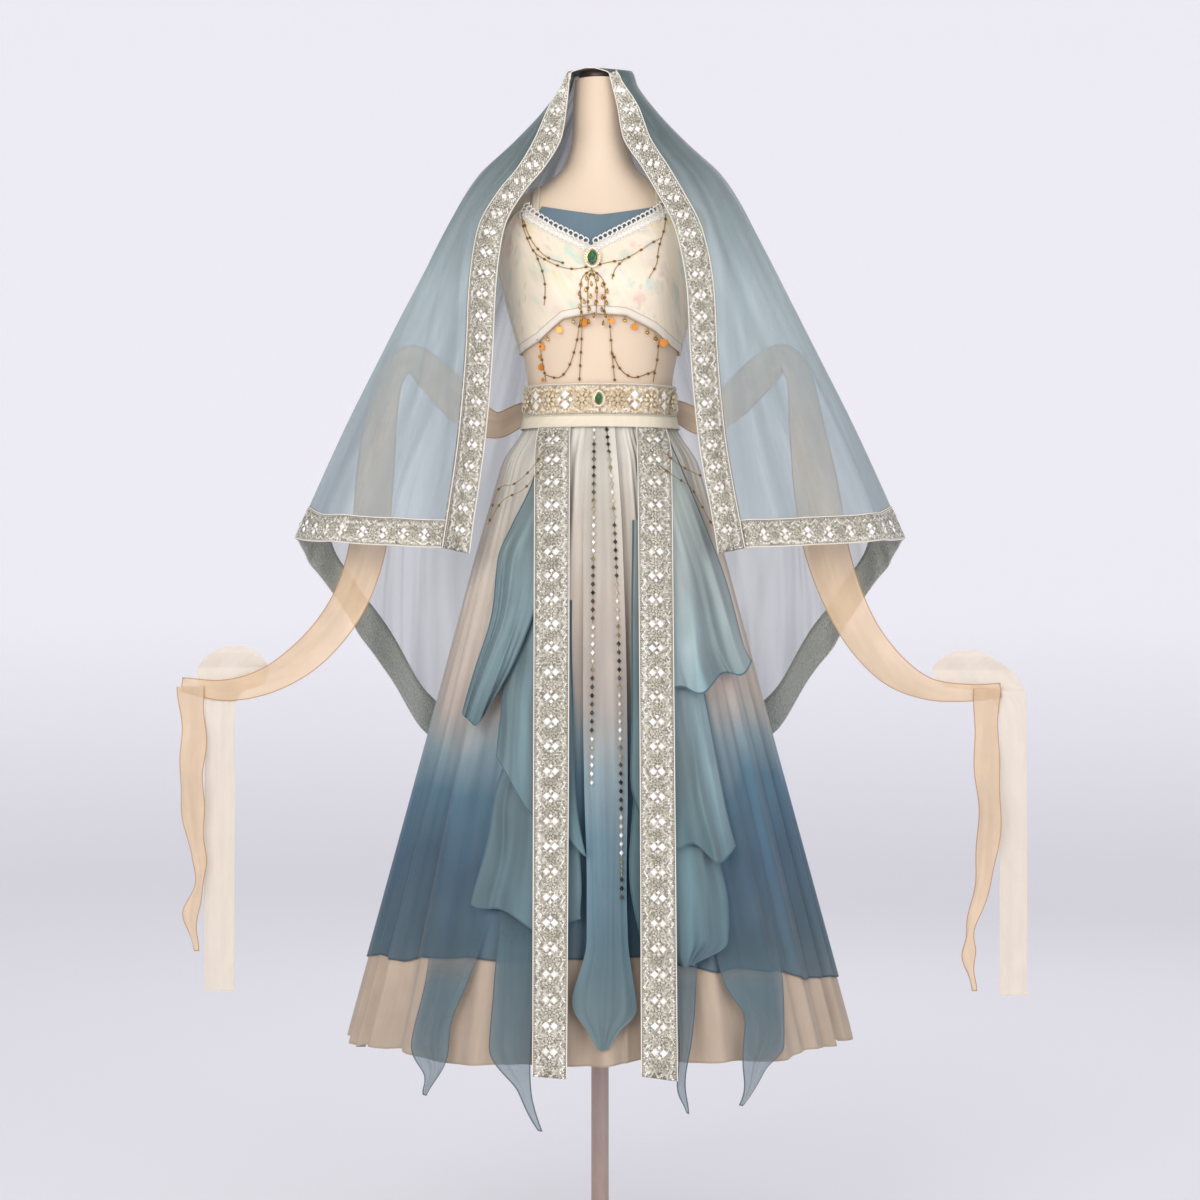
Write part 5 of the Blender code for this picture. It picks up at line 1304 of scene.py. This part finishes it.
def skirt_points(even, heights, inset=0.0):
    """The folded skirt: broad soft folds of uneven depth, and fine gathers below the waist."""
    number = even * SKIRT_FOLDS / (2 * pi)
    drift = number + 0.30 * np.sin(1.7 * number * 2 * pi / SKIRT_FOLDS * 3 + 0.5) * (1.372 - heights)
    uneven = 0.60 + 0.26 * np.sin(5 * even + 0.5) + 0.14 * np.sin(9 * even + 2.0)
    fold = (0.5 - 0.5 * np.cos(2 * pi * drift)) * uneven
    small = (0.5 - 0.5 * np.cos(2 * pi * drift * 2 + 1.1)) * 0.16
    half_width, half_depth, deep = skirt_axes(heights)
    gather = np.interp(heights, (0.70, 1.00, 1.15, 1.25, 1.295, 1.312, 1.325),
                       (0.0010, 0.0020, 0.0036, 0.0040, 0.0030, 0.0010, 0.0))
    fine = 0.5 - 0.5 * np.cos(2 * pi * number * 3 + 1.9 * np.sin(1.3 * even + 0.4)
                              + 1.2 * np.sin(4.1 * even))
    inward = deep * (0.72 * fold + small) + gather * fine * (0.65 + 0.35 * np.sin(5.1 * number)) + inset
    return ring(fold_angle(even), half_width - inward, half_depth - inward, heights)


def hem_heights(even):
    angle = fold_angle(even) % (2 * pi)
    quarters = np.array([SKIRT_HEM[k % 4] for k in range(-1, 6)])
    level = np.mean([np.interp(angle + step, np.arange(-1, 6) * pi / 2, quarters)
                     for step in (-0.3, -0.15, 0, 0.15, 0.3)], axis=0)
    return level + 0.004 * np.sin(9 * even + 1.0) + 0.002 * np.sin(23 * even)


def make_skirt():
    even = np.linspace(0, 2 * pi, SKIRT_FOLDS * 22, endpoint=False)
    share = np.linspace(0, 1, 62)[:, None] ** 1.25
    heights = SKIRT_SECTIONS[0][0] + share * (hem_heights(even) - SKIRT_SECTIONS[0][0])
    grid = skirt_points(np.broadcast_to(even, heights.shape), heights)
    dressed("skirt", "skirt_chiffon", grid, finish["skirt"], closed=True, gathered=True)
    hem = UNDERSKIRT_HEM + 0.004 * np.sin(6 * even + 0.8) + 0.003 * np.sin(15 * even)
    heights = UNDERSKIRT_TOP + np.linspace(0, 1, 44)[:, None] * (hem - UNDERSKIRT_TOP)
    grid = skirt_points(np.broadcast_to(even, heights.shape), heights, UNDERSKIRT_INSET)
    dressed("underskirt", "lining_chiffon", grid, finish["lining"], closed=True, gathered=True)


def overlay_grid(rows, lifts, across, along, ripple=0.0, ripple_from=0.5, waves=2.0, phase=0.0,
                 creases=(), flounce=0.0, sway=0.0, corner=0.0):
    """Points of a panel on the skirt: the rows give its side edges, and lifts how far it stands
    off the skirt at its top and its hem. Its ripples grow outwards from ripple_from to the hem,
    and more where no band lies over it. The flounce waves the hem, sway the side edges, and corner
    rounds the hem's corners. A crease runs from its place at the top to its place at the hem."""
    spots_down = np.linspace(0, len(rows) - 1, along)
    edges = smooth_rows(rows, spots_down)
    u = np.linspace(0, 1, across)[None, :]
    v = (spots_down / spots_down[-1])[:, None]
    width = np.abs(edges[:, 2:3] - edges[:, 0:1])
    left = edges[:, 0:1] + sway * v * np.sin(11 * v + phase)
    right = edges[:, 2:3] + sway * v * np.sin(9 * v + phase + 2.0)
    x = left * (1 - u) + right * u
    growth = np.clip((v - ripple_from) / (1 - ripple_from), 0, 1) * width / width.max()
    wave = np.cos(2 * pi * waves * u + phase)
    z = edges[:, 1:2] * (1 - u) + edges[:, 3:4] * u
    z = z - flounce * growth * wave + corner * v**8 * np.abs(2 * u - 1) ** 4
    stand = lifts[0] + (lifts[1] - lifts[0]) * v + CHIFFON / 2
    free = np.clip((np.abs(x) - BAND_REACH) / 0.03, 0, 1)
    stand = stand + ripple * growth * (1 + 1.3 * free) * (0.5 + 0.5 * wave)
    for place, hem_place, start, spread, depth in creases:
        centre = place + (hem_place - place) * v + 0.02 * np.sin(9 * v + 7 * place)
        grown = np.clip((v - start) / 0.3, 0, 1) ** 1.3 * np.clip(width / width.max() * 2, 0, 1)
        ridge = np.exp(-np.abs((u - centre) / spread) ** 1.6)
        stand = stand + depth * (0.3 + free) * grown * ridge
    half_width, half_depth, _ = skirt_axes(z)
    y = -(half_depth + stand) * np.sqrt(1 - (x / (half_width + stand)) ** 2)
    return np.stack([x, y, z], axis=-1)


def band_grid(rows):
    grid = overlay_grid(rows, (0.0, 0.0), 9, 90)
    x, z = grid[..., 0], grid[..., 2]
    stand = np.interp(z, (0.330, 0.650, 0.900, 1.150, 1.325), (0.0240, 0.0270, 0.0240, 0.0150, 0.0030))
    half_width, half_depth, _ = skirt_axes(z)
    grid[..., 1] = -(half_depth + stand + TRIM) * np.sqrt(1 - (x / (half_width + stand + TRIM)) ** 2)
    return grid


def make_overlays():
    grid = overlay_grid(CENTRE_PANEL, (0.0008, 0.0012), 33, 90, creases=CENTRE_CREASES)
    dressed("centre_panel", "skirt_chiffon", grid, finish["centre"], facing=FRONT, gathered=True)
    for phase, (word, rows) in enumerate(TAILS.items()):
        grid = overlay_grid(rows, (0.0022, 0.0060), 29, 80, 0.007, 0.4, 1.5, 1.5 * phase, TAIL_CREASES,
                            0.004, 0.006)
        dressed("tail_" + word, "cascade_chiffon", grid, finish["tail"], facing=FRONT, gathered=True)
    for word, rows in CASCADES.items():
        side, level = word.split("_")
        hem_lift, phase = CASCADE_STANDS[level]
        waves = 1.5 if side == "left" else 2.0
        grid = overlay_grid(rows, (0.0008, hem_lift), 71, 100, 0.007, 0.5, waves, phase,
                            CASCADE_CREASES[word], 0.009, 0.004, 0.016)
        dressed("cascade_" + word, "cascade_chiffon", grid, finish["cascade_" + side], facing=FRONT,
                gathered=True)


def make_bands():
    sets, pipes = [], []
    for number, (word, rows) in enumerate(FRONT_BANDS.items()):
        grid = band_grid(rows)
        dressed("front_band_" + word, "sequin_trim", grid, finish["net"], facing=FRONT, thickness=0.0010)
        strip = Strip(grid, FRONT)
        sets.append(edging(strip, 31 + number, *BAND_TRIM))
        pipes += long_edges(strip, 0.0008)
    sew_edgings("front_bands", sets, 41)
    belongs(tubes("front_band_piping", pipes, PIPING_RADIUS, finish["piping"]), "white_lace")
    strings = []
    rng = np.random.default_rng(7)
    for word, rows in BEAD_STRIPS.items():
        grid = overlay_grid(rows, (0.0026, 0.0075), 5, 80)
        strip = Strip(grid, FRONT)
        marks = np.arange(0.006, strip.length, 0.0134)
        # Tones rise and fall along the strip: painted reflections, dark and bright glints, over each
        # sequin's own colour.
        tones = np.clip(0.5 + 0.5 * np.sin(marks * 34 + 2 * len(word)) + rng.uniform(-0.3, 0.3, len(marks)),
                        0, 1)
        lozenges = [spots(*strip.read(marks, np.zeros(len(marks)), 0.0004), size=0.0033, tone=tones)]
        sew("bead_string_" + word, lozenges, shape_lozenge(1.35), finish["lozenge"], "bead_metal",
            tilt=0.12, seed=5, nodes=("bead_strip_" + word,))
        strings.append(strip.read(np.linspace(0, strip.length, 90), np.zeros(90), -0.0003)[0])
    belongs(tone(tubes("bead_threads", strings, 0.0005, finish["gold"]), 0.4, 0.6), "bead_metal")


# The veil

def veil_rows(hem, trim_top):
    upper = [1.8600, 1.8200, 1.7700, 1.7200, VEIL_SHOULDER_Z]
    lower = [VEIL_SHOULDER_Z + share * (trim_top - VEIL_SHOULDER_Z) for share in (0.12, 0.30, 0.50, 0.74)]
    return upper + lower + [trim_top, hem]


def veil_column(height, value):
    rows = np.array(sorted(VEIL_SECTIONS))
    return float(np.interp(height, rows[:, 0], rows[:, value]))


def veil_arc(height, side):
    """The level curve of one side of the veil: back points from the middle, then front points
    from the outer bend to the front edge, with the edging's width kept for the last two spans."""
    out, edge_left, edge_right, front_y, back_y = [veil_column(height, k) for k in range(1, 6)]
    edge = edge_right if side > 0 else -edge_left
    alpha = np.linspace(0, pi / 2, VEIL_BACK_CELLS + 1)
    fullness = np.interp(height, (1.10, 1.50, 1.70), (0.016, 0.010, 0.0))
    ripple = np.tile((0.0, 1.0), VEIL_BACK_CELLS)[:VEIL_BACK_CELLS + 1] * np.cos(alpha) ** 0.5
    back = np.stack([out * np.sin(alpha), back_y * np.cos(alpha) + fullness * ripple], axis=-1)
    beta = np.linspace(0, pi / 2, 81)
    curve = np.stack([edge + (out - edge) * np.cos(beta), front_y * np.sin(beta)], axis=-1)
    length = lengths_along(curve)
    seen = np.interp(height, (1.80, VEIL_SECTIONS[0][0]), (1.0, TRIM_AT_CROWN))
    trim = min(VEIL_TRIM_WIDTH * seen, 0.6 * length[-1])
    stations = np.linspace(0, length[-1] - trim, VEIL_FRONT_CELLS + 1)[1:]
    stations = np.append(stations, [length[-1] - trim / 2, length[-1]])
    front = np.stack([np.interp(stations, length, curve[:, k]) for k in (0, 1)], axis=-1)
    soft = np.interp(height, (1.15, 1.50, 1.70), (0.008, 0.004, 0.0))
    front[:VEIL_FRONT_CELLS, 1] -= soft * np.array([0.3, 1.0, 0.2, 0.8])
    return np.concatenate([back, front]) * (side, 1)


def veil_hems():
    """Hem height and edging height for each column of one side, from the back's middle."""
    alpha = np.linspace(0, pi / 2, VEIL_BACK_CELLS + 1)
    x = VEIL_WIDEST * np.sin(alpha)
    slope = (VEIL_CORNER_HEM - VEIL_BACK_HEM - 0.012) / (VEIL_WIDEST - VEIL_BACK_CORNER_X)
    hem = np.where(x > VEIL_BACK_CORNER_X, VEIL_CORNER_HEM - (VEIL_WIDEST - x) * slope,
                   VEIL_BACK_HEM + 0.012 * x / VEIL_BACK_CORNER_X)
    rise = np.interp(x, (0.20, 0.32, VEIL_WIDEST - 0.02, VEIL_WIDEST), (0.045, 0.080, 0.070, 0.052))
    front = np.linspace(0, 1, VEIL_FRONT_CELLS + 3)[1:]
    hem = np.concatenate([hem, VEIL_CORNER_HEM + (VEIL_FRONT_HEM - VEIL_CORNER_HEM) * front])
    rise = np.concatenate([rise, np.full(len(front), VEIL_TRIM_WIDTH)])
    return hem, hem + rise


def veil_grid():
    """Points of the whole veil: columns run from the left front edge round the back to the right
    front edge, rows from the crown down."""
    hems, trims = veil_hems()
    sides = []
    for side in (-1, 1):
        columns = []
        for j, (hem, trim_top) in enumerate(zip(hems, trims)):
            heights = veil_rows(hem, trim_top)
            columns.append([(*veil_arc(height, side)[j], height) for height in heights])
        sides.append(np.array(columns).transpose(1, 0, 2))
    left, right = sides
    body = np.concatenate([left[:, :0:-1], right], axis=1)
    count = body.shape[1]
    second = body[0].copy()
    second[:, :2] = np.concatenate([veil_arc(VEIL_SECTIONS[0][0], -1)[:0:-1],
                                    veil_arc(VEIL_SECTIONS[0][0], 1)])
    number = np.abs(np.arange(count) - (count - 1) / 2) / ((count - 1) / 2)
    second[:, 2] = CROWN_Z - CROWN_DROP * np.clip((number - 0.7) / 0.3, 0, 1)
    first = second.copy()
    first[:, :2] = CROWN_FRONT + CROWN_NOTCH * (second[:, :2] - CROWN_FRONT)
    first[:, 2] = CROWN_Z
    return np.concatenate([first[None], second[None], body])


def creased_veil():
    """The veil with its long soft creases, fanned out from the crown and the shoulders."""
    grid = finer(veil_grid(), VEIL_STEPS, VEIL_STEPS)
    normals = grid_normals(grid)
    rows, columns = grid.shape[:2]
    across = np.linspace(-1, 1, columns)[None, :]
    down = np.linspace(0, 1, rows)[:, None]
    rise = np.zeros((rows, columns))
    for place, drift, width, height, start in VEIL_CREASES:
        centre = place + drift * (1 - down)
        grown = np.clip((down - start) / 0.35, 0, 1) ** 1.5
        rise += height * grown * np.exp(-((across - centre) / width) ** 2)
    return grid + normals * rise[..., None]


def make_veil():
    grid = creased_veil()
    dressed("veil", "veil_chiffon", grid, finish["veil"], gathered=True)
    step, last = VEIL_STEPS, grid.shape[1] - 1
    bend = (VEIL_FRONT_CELLS + 2) * step
    raised = grid + grid_normals(grid) * VEIL_TRIM_LIFT
    hem = slice(-1 - step, None)
    every = slice(step, None)
    parts = {
        "front_left": raised[every, 0:2 * step + 1],
        "front_right": raised[every, last - 2 * step:last + 1],
        "end_left": raised[hem, 2 * step:bend + 1].transpose(1, 0, 2),
        "end_right": raised[hem, last - bend:last - 2 * step + 1].transpose(1, 0, 2),
        "back": raised[hem, bend:last - bend + 1].transpose(1, 0, 2),
    }
    sets, pipes = [], []
    for number, (word, part) in enumerate(parts.items()):
        # The back edging takes the lighter copy of the trim, painted light.
        ground = finish["back_net_painted_light" if word == "back" else "net"]
        dressed("veil_trim_" + word, "sequin_trim", part, ground, thickness=2 * VEIL_TRIM_LIFT)
        strip = Strip(part)
        sets.append(edging(strip, 51 + number, *VEIL_TRIM))
        pipes += long_edges(strip, 0.0008)
    sew_edgings("veil", sets, 61)
    left, right = grid[1:2 * step, 0], grid[1:2 * step, last]
    pipes.append(np.concatenate([left[::-1], right]) + (0, -0.0012, 0.0004))
    belongs(tubes("veil_piping", pipes, PIPING_RADIUS, finish["piping"]), "white_lace")


# The arm sash

def ribbon(rows, sections, across_count, creases):
    """Points of a ribbon along a smooth path that faces the front, with soft creases along it."""
    path = smooth_path(rows, sections)
    centre = path[:, :3]
    across = unit(np.cross(np.gradient(centre, axis=0), FRONT))
    places = np.linspace(-1, 1, across_count)
    grid = centre[:, None, :] + across[:, None, :] * (places[None, :, None] * path[:, 3][:, None, None])
    number = np.linspace(0, 28, sections)
    fade = np.clip((number - 2) / 3, 0, 1) * np.clip((0.78 * 29 - number) / 4, 0, 1)
    fade = fade * np.clip(path[:, 3] / 0.028, 0, 1)
    main = smooth_rows(np.array(creases)[:, None], np.linspace(0, len(creases) - 1, across_count))[:, 0]
    fine = np.sin(places * 9 + 1.0) * 0.0012 + np.sin(places * 17 + 0.4) * 0.0006
    swing = np.sin(np.linspace(0, 9, sections))[:, None]
    grid[..., 1] += main[None, :] * fade[:, None] + fine[None, :] * (0.7 + 0.3 * swing) * fade[:, None]
    return grid


def hanging(rows, sections, across_count, creases, plane, wave=0.0):
    """Points of a hanging strip with the given rows of x, y, z and half width. The wave moves its
    edges in and out."""
    path = smooth_path(rows, sections)
    places = np.linspace(-1, 1, across_count)
    down = np.linspace(0, 1, sections)[:, None]
    x = path[:, 0:1] + places * path[:, 3:4] + wave * places**2 * np.sin(31 * down + 2.2 * places)
    fade = np.clip((np.linspace(0, 14, sections) - 2) / 2, 0, 1)[:, None]
    fullness = np.abs(path[:, 3:4]) / np.abs(path[:, 3]).max()
    main = smooth_rows(np.array(creases)[:, None], np.linspace(0, len(creases) - 1, across_count))[:, 0]
    y = plane + path[:, 1:2] * fade + main * fade * fullness
    z = np.broadcast_to(path[:, 2:3], x.shape)
    return np.stack([x, y, z], axis=-1)


def make_sash():
    angle = np.linspace(SASH_LEAVES_AT, 2 * pi - SASH_LEAVES_AT, 60)[None, :]
    heights = np.linspace(SASH_BACK_TOP, SASH_BACK_BOTTOM, 13)[:, None]
    shape = np.ones_like(heights * angle)
    folds = 0.0007 * np.sin(np.linspace(0, 14, 13))[:, None] * shape
    grid = ring(angle * shape, BELT_OUTSIDE[0] + SASH_LIFT + folds, BELT_OUTSIDE[1] + SASH_LIFT + folds,
                heights)
    dressed("sash_back", "sash_chiffon", grid, finish["sash"])
    leave = ring(np.array([SASH_LEAVES_AT]), BELT_OUTSIDE[0] + 0.0010, BELT_OUTSIDE[1] + 0.0010,
                 SASH_LEAVES_Z)[0]
    before = SASH_PLANE_Y - CHIFFON - SEAM_GAP
    behind = SASH_PLANE_Y + CHIFFON + SEAM_GAP
    for side, word in ((-1, "left"), (1, "right")):
        start = (side * (leave[0] + 0.0012), leave[1] - 0.0004, leave[2], 0.0165)
        grid = ribbon((start,) + SASH_ARMS[word], 190, 17, (0.0, 0.004, -0.003, 0.0))
        dressed("sash_arm_" + word, "sash_chiffon", grid, finish["sash"], facing=FRONT)
        grid = hanging(SASH_ENDS[word], 110, 13, (0.0, -0.006, -0.001, 0.0), before, 0.0018)
        dressed("sash_end_" + word, "sash_chiffon", grid, finish["sash"], facing=FRONT)
        grid = hanging(SASH_FOLDS[word], 110, 17, (0.0, 0.008, 0.002, 0.007, 0.0), behind)
        dressed("sash_fold_" + word, "sash_pale", grid, finish["pale"], facing=FRONT)


# Brooches, coins and chains

def drop_rings(x, y, z, scale, sides, half_width, half_height, taper, steps):
    """Rings of a flat drop that narrows upwards, each a share of its size at its own depth."""
    angle = full_turn(sides)
    narrow = 1 - taper * np.maximum(np.cos(angle), 0) ** 2
    return np.array([np.stack([x + half_width * scale * share * np.sin(angle) * narrow,
                               np.full(sides, y - depth),
                               z + half_height * scale * share * np.cos(angle)], axis=-1)
                     for share, depth in steps])


def brooch(word, x, z, y, scale):
    """A drop-shaped green stone in a beaded surround."""
    outline = np.linspace(0, 2 * pi, 22, endpoint=False)
    points = []
    for a in outline:
        narrow = 1 - 0.30 * max(cos(a), 0) ** 2
        points.append((x + 0.0115 * scale * sin(a) * narrow, y - 0.0016, z + 0.0148 * scale * cos(a)))
    sew("brooch_" + word + "_beads", [spots(points, FRONT, ACROSS, 0.0021 * scale, 0.9)], shape_bead(8),
        finish["crystal"], "brooch_metal")
    steps = ((0.55, 0.0030), (0.86, 0.0022), (1.0, 0.0010), (1.0, 0.0))
    rings = drop_rings(x, y, z, scale, 40, 0.0128, 0.0160, 0.25, steps)
    plate = lofted("brooch_" + word + "_plate", rings, finish["gold"])
    belongs(tone(plate, 0.5, 0.8), "brooch_metal", "brooch_" + word)
    steps = ((0.52, 0.0072), (0.80, 0.0062), (1.0, 0.0040), (1.0, 0.0030))
    rings = drop_rings(x, y, z, scale, 24, 0.0080, 0.0112, 0.45, steps)
    stone = lofted("stone_" + word + "_cut", rings, finish["stone"])
    stone.data.set_sharp_from_angle(angle=radians(8))
    belongs(tone(stone, 0.35, 0.9), "green_stone", "stone_" + word)


def over_top(x, z, lift=0.0012):
    """Points on the top, or on the form where they are below its hem."""
    x, z = np.asarray(x, dtype=float), np.asarray(z, dtype=float)
    _, hem = bodice_edges(x)
    worn = bodice_surface(x, z, ON_TOP + lift)
    bare = bodice_surface(x, z, lift)
    bare[:, 1] -= np.interp(hem - z, (0.0, 0.03), (0.0050, 0.0008))
    return np.where((z > hem)[:, None], worn, bare)


def over_skirt(x, z, stand):
    half_width, half_depth, _ = skirt_axes(np.asarray(z, dtype=float))
    y = -(half_depth + stand) * np.sqrt(np.maximum(0, 1 - (x / (half_width + stand)) ** 2))
    return np.stack([x, y, z], axis=-1)


def strung(line, gap):
    """x and z at even gaps along a smooth line."""
    path = smooth_path(line, 60)
    marks = lengths_along(path)
    at = np.arange(0, marks[-1], gap)
    return [np.interp(at, marks, path[:, k]) for k in (0, 1)]


def make_chains():
    """Fine bead chains over the top, the midriff and the hips, each from x and z points."""
    body = (
        ((-0.107, 1.660), (-0.097, 1.612), (-0.089, 1.585), (-0.064, 1.564), (-0.040, 1.556),
         (-0.014, 1.560)),
        ((-0.101, 1.640), (-0.089, 1.600), (-0.074, 1.577), (-0.052, 1.566)),
        ((-0.089, 1.585), (-0.083, 1.552), (-0.083, 1.526), (-0.088, 1.502)),
        ((0.088, 1.650), (0.080, 1.596), (0.080, 1.566), (0.072, 1.542)),
        ((0.080, 1.608), (0.067, 1.598), (0.054, 1.586), (0.034, 1.572), (0.010, 1.566), (-0.010, 1.560)),
        ((0.034, 1.572), (0.022, 1.556), (0.018, 1.540)),
        ((-0.012, 1.556), (-0.028, 1.536), (-0.030, 1.488)),
        ((-0.012, 1.556), (-0.018, 1.530), (-0.019, 1.489)),
        ((-0.012, 1.556), (-0.005, 1.528), (-0.006, 1.488)),
        ((-0.012, 1.556), (0.006, 1.534), (0.007, 1.488)),
        ((-0.030, 1.480), (-0.035, 1.440), (-0.042, 1.383)),
        ((-0.034, 1.478), (-0.045, 1.440), (-0.062, 1.406), (-0.084, 1.390), (-0.112, 1.396)),
        ((0.016, 1.478), (0.021, 1.440), (0.024, 1.419), (0.030, 1.383)),
        ((0.022, 1.430), (0.040, 1.403), (0.066, 1.390), (0.094, 1.396), (0.110, 1.402)),
        ((-0.110, 1.450), (-0.113, 1.424), (-0.110, 1.384)),
        ((0.108, 1.450), (0.111, 1.420), (0.108, 1.384)),
    )
    small, large = [], []
    for line in body:
        places = over_top(*strung(line, 0.0026))
        small.append(spots(places, FRONT, DOWN, 0.0011, 0.45))
        large.append(spots(places[4::8] + (0, -0.0006, 0), FRONT, DOWN, 0.0023, 0.25))
    hips = (
        ((-0.088, 1.272), (-0.108, 1.244), (-0.134, 1.222), (-0.160, 1.214), (-0.176, 1.164)),
        ((-0.088, 1.250), (-0.118, 1.214), (-0.152, 1.196), (-0.178, 1.158)),
        ((0.100, 1.272), (0.124, 1.252), (0.148, 1.240), (0.160, 1.236)),
        ((0.092, 1.250), (0.118, 1.232), (0.144, 1.214), (0.176, 1.160), (0.190, 1.156)),
    )
    for line in hips:
        places = over_skirt(*strung(line, 0.0030), 0.013)
        small.append(spots(places, FRONT, DOWN, 0.0011, 0.5))
        large.append(spots(places[5::9] + (0, -0.0008, 0), FRONT, DOWN, 0.0024, 0.35))
    sew("bead_chains", small, shape_bead(5), finish["gold"], "bead_metal")
    sew("chain_beads", large, shape_bead(), finish["gold"], "bead_metal")


def make_jewels():
    x, z = BUST_BROOCH
    bust = bodice_surface(np.array([x]), np.array([z - BROOCH_FOOT]), ON_TOP + SEAM_GAP)[0, 1]
    brooch("bust", x, z, bust, 1.0)
    brooch("belt", *BELT_BROOCH, -(BELT_OUTSIDE[1] + SEAM_GAP), 0.8)
    coins, rings, drops = [], [], []
    for x, size in ((-0.109, 0.0052), (-0.096, 0.0030), (-0.072, 0.0052), (-0.046, 0.0032), (-0.027, 0.0068),
                    (0.019, 0.0050), (0.043, 0.0032), (0.061, 0.0052), (0.085, 0.0032), (0.102, 0.0034)):
        _, hem = bodice_edges(np.array([x]))
        place = over_top([x], hem - 0.0045 - size)[0]
        group = coins if size > 0.004 else drops
        group.append(spots([place], FRONT, ACROSS, size, 0.4 + 20 * abs(x) % 0.5))
        link = over_top([x], hem - 0.0030)[0]
        rings.append(spots([link], ACROSS, (0, 0, 1), 0.0016, 0.6))
    side = over_top([0.118], [1.446])[0]
    coins.append(spots([side], (0.3, -1, 0), ACROSS, 0.0072, 0.6))
    for z, size in ((1.424, 0.0030), (1.408, 0.0056), (1.388, 0.0030)):
        place = over_top([-0.116], [z])[0]
        coins.append(spots([place], (-0.5, -1, 0), ACROSS, size, 0.7))
    sew("hem_coins", coins, shape_coin(), finish["amber"], "coin_metal", tilt=0.10, seed=3,
        nodes=("coin_trim",))
    sew("hem_beads", drops, shape_bead(8), finish["gold"], "coin_metal")
    edge = np.linspace(-0.112, 0.108, 110)
    _, hem = bodice_edges(edge)
    places = over_top(edge, hem - 0.0016)
    rings.append(spots(places, FRONT, ACROSS, 0.0009, 0.7))
    sew("hem_links", rings, shape_bead(5), finish["gold"], "coin_metal")
    hung = []
    for x, z in ((-0.012, 1.554), (-0.020, 1.546), (-0.004, 1.545), (-0.028, 1.536), (-0.013, 1.537),
                 (0.004, 1.536), (-0.021, 1.528), (-0.006, 1.526), (0.011, 1.526), (-0.031, 1.522),
                 (-0.014, 1.518), (0.003, 1.517), (-0.025, 1.510), (-0.007, 1.508), (0.010, 1.508),
                 (-0.032, 1.502), (-0.016, 1.499), (0.002, 1.498), (-0.029, 1.490), (-0.009, 1.489),
                 (0.008, 1.489), (-0.034, 1.478), (-0.020, 1.480), (0.006, 1.478)):
        hung.append(spots(over_top([x], [z], 0.0022), FRONT, (0.16 * sin(900 * x), 0, -1), 0.0046,
                          0.48 + 0.14 * sin(700 * z)))
    sew("leaf_drops", hung, shape_drop(), finish["gold"], "coin_metal", tilt=0.15, seed=9)


# Floor, lights and camera

FLOOR_Z = -0.001
CAMERA_AWAY = 4.5
CAMERA_HEIGHT = 1.04
HALF_VIEW = 0.96


def make_stage():
    # The sweep glows faintly in its own colours; its colour is painted darker on the floor and lighter up
    # the first metre of the wall, a painted shade.
    made, tree, shader = blank("studio_sweep_painted_shade", 0.9, Emission_Strength=0.22)
    place = object_place(tree)
    height = node(tree, "ShaderNodeSeparateXYZ", {0: place}).outputs[2]
    level = calc(tree, "MULTIPLY_ADD", noise(tree, place, 0.6)[0], 0.06, height)
    pale = ramp(tree, level, ((0.0, "D3D2D8"), (0.5, "E2E1E7"), (1.0, "EDECF0")))
    tree.links.new(pale, shader.inputs["Base Color"])
    tree.links.new(pale, shader.inputs["Emission Color"])
    flat, bend, top, sides = 6.5, 2.0, 6.0, 96
    profile = [(flat, FLOOR_Z)]
    profile += [(flat + bend * sin(a), FLOOR_Z + bend - bend * cos(a)) for a in np.linspace(0.1, pi / 2, 12)]
    profile += [(flat + bend, top)]
    points = [(0, 0, FLOOR_Z)] + [(r * cos(a), r * sin(a), z) for r, z in profile for a in full_turn(sides)]
    faces = [(0, 1 + k, 1 + (k + 1) % sides) for k in range(sides)] + between_rings(len(profile), sides, 1)
    new_piece("studio_sweep", points, faces, made)

    world = bpy.data.worlds.new("studio")
    bpy.context.scene.world = world
    world.use_nodes = True
    background = world.node_tree.nodes["Background"]
    background.inputs["Color"].default_value = srgb("F4F4F6")
    background.inputs["Strength"].default_value = 0.72
    for name, place, size, power, colour in (
            ("key", (-1.7, -4.0, 2.4), 2.4, 80, "FFFAF2"),
            ("fill", (2.6, -3.4, 1.3), 2.8, 42, "FCF8F6"),
            ("back", (0.8, 3.0, 3.2), 2.6, 24, "FFFFFF")):
        lamp = bpy.data.lights.new(name, "AREA")
        lamp.size = size
        lamp.energy = power
        lamp.color = srgb(colour)[:3]
        light = bpy.data.objects.new(name, lamp)
        bpy.context.scene.collection.objects.link(light)
        light.location = place
        aim = np.array((0.0, 0.0, 1.1)) - np.array(place)
        light.rotation_euler = Vector(aim).to_track_quat("-Z", "Y").to_euler()


def make_camera():
    data = bpy.data.cameras.new("view")
    camera = bpy.data.objects.new("view", data)
    bpy.context.scene.collection.objects.link(camera)
    camera.location = (0.0, -CAMERA_AWAY, CAMERA_HEIGHT)
    camera.rotation_euler = (pi / 2, 0.0, 0.0)
    data.lens = data.sensor_width / 2 / np.tan(atan(HALF_VIEW / CAMERA_AWAY))
    bpy.context.scene.camera = camera


make_camera()
make_form()
make_top()
make_belt()
make_skirt()
make_overlays()
make_bands()
make_veil()
make_sash()
make_jewels()
make_chains()
make_stage()
bpy.context.scene.view_settings.view_transform = "Standard"
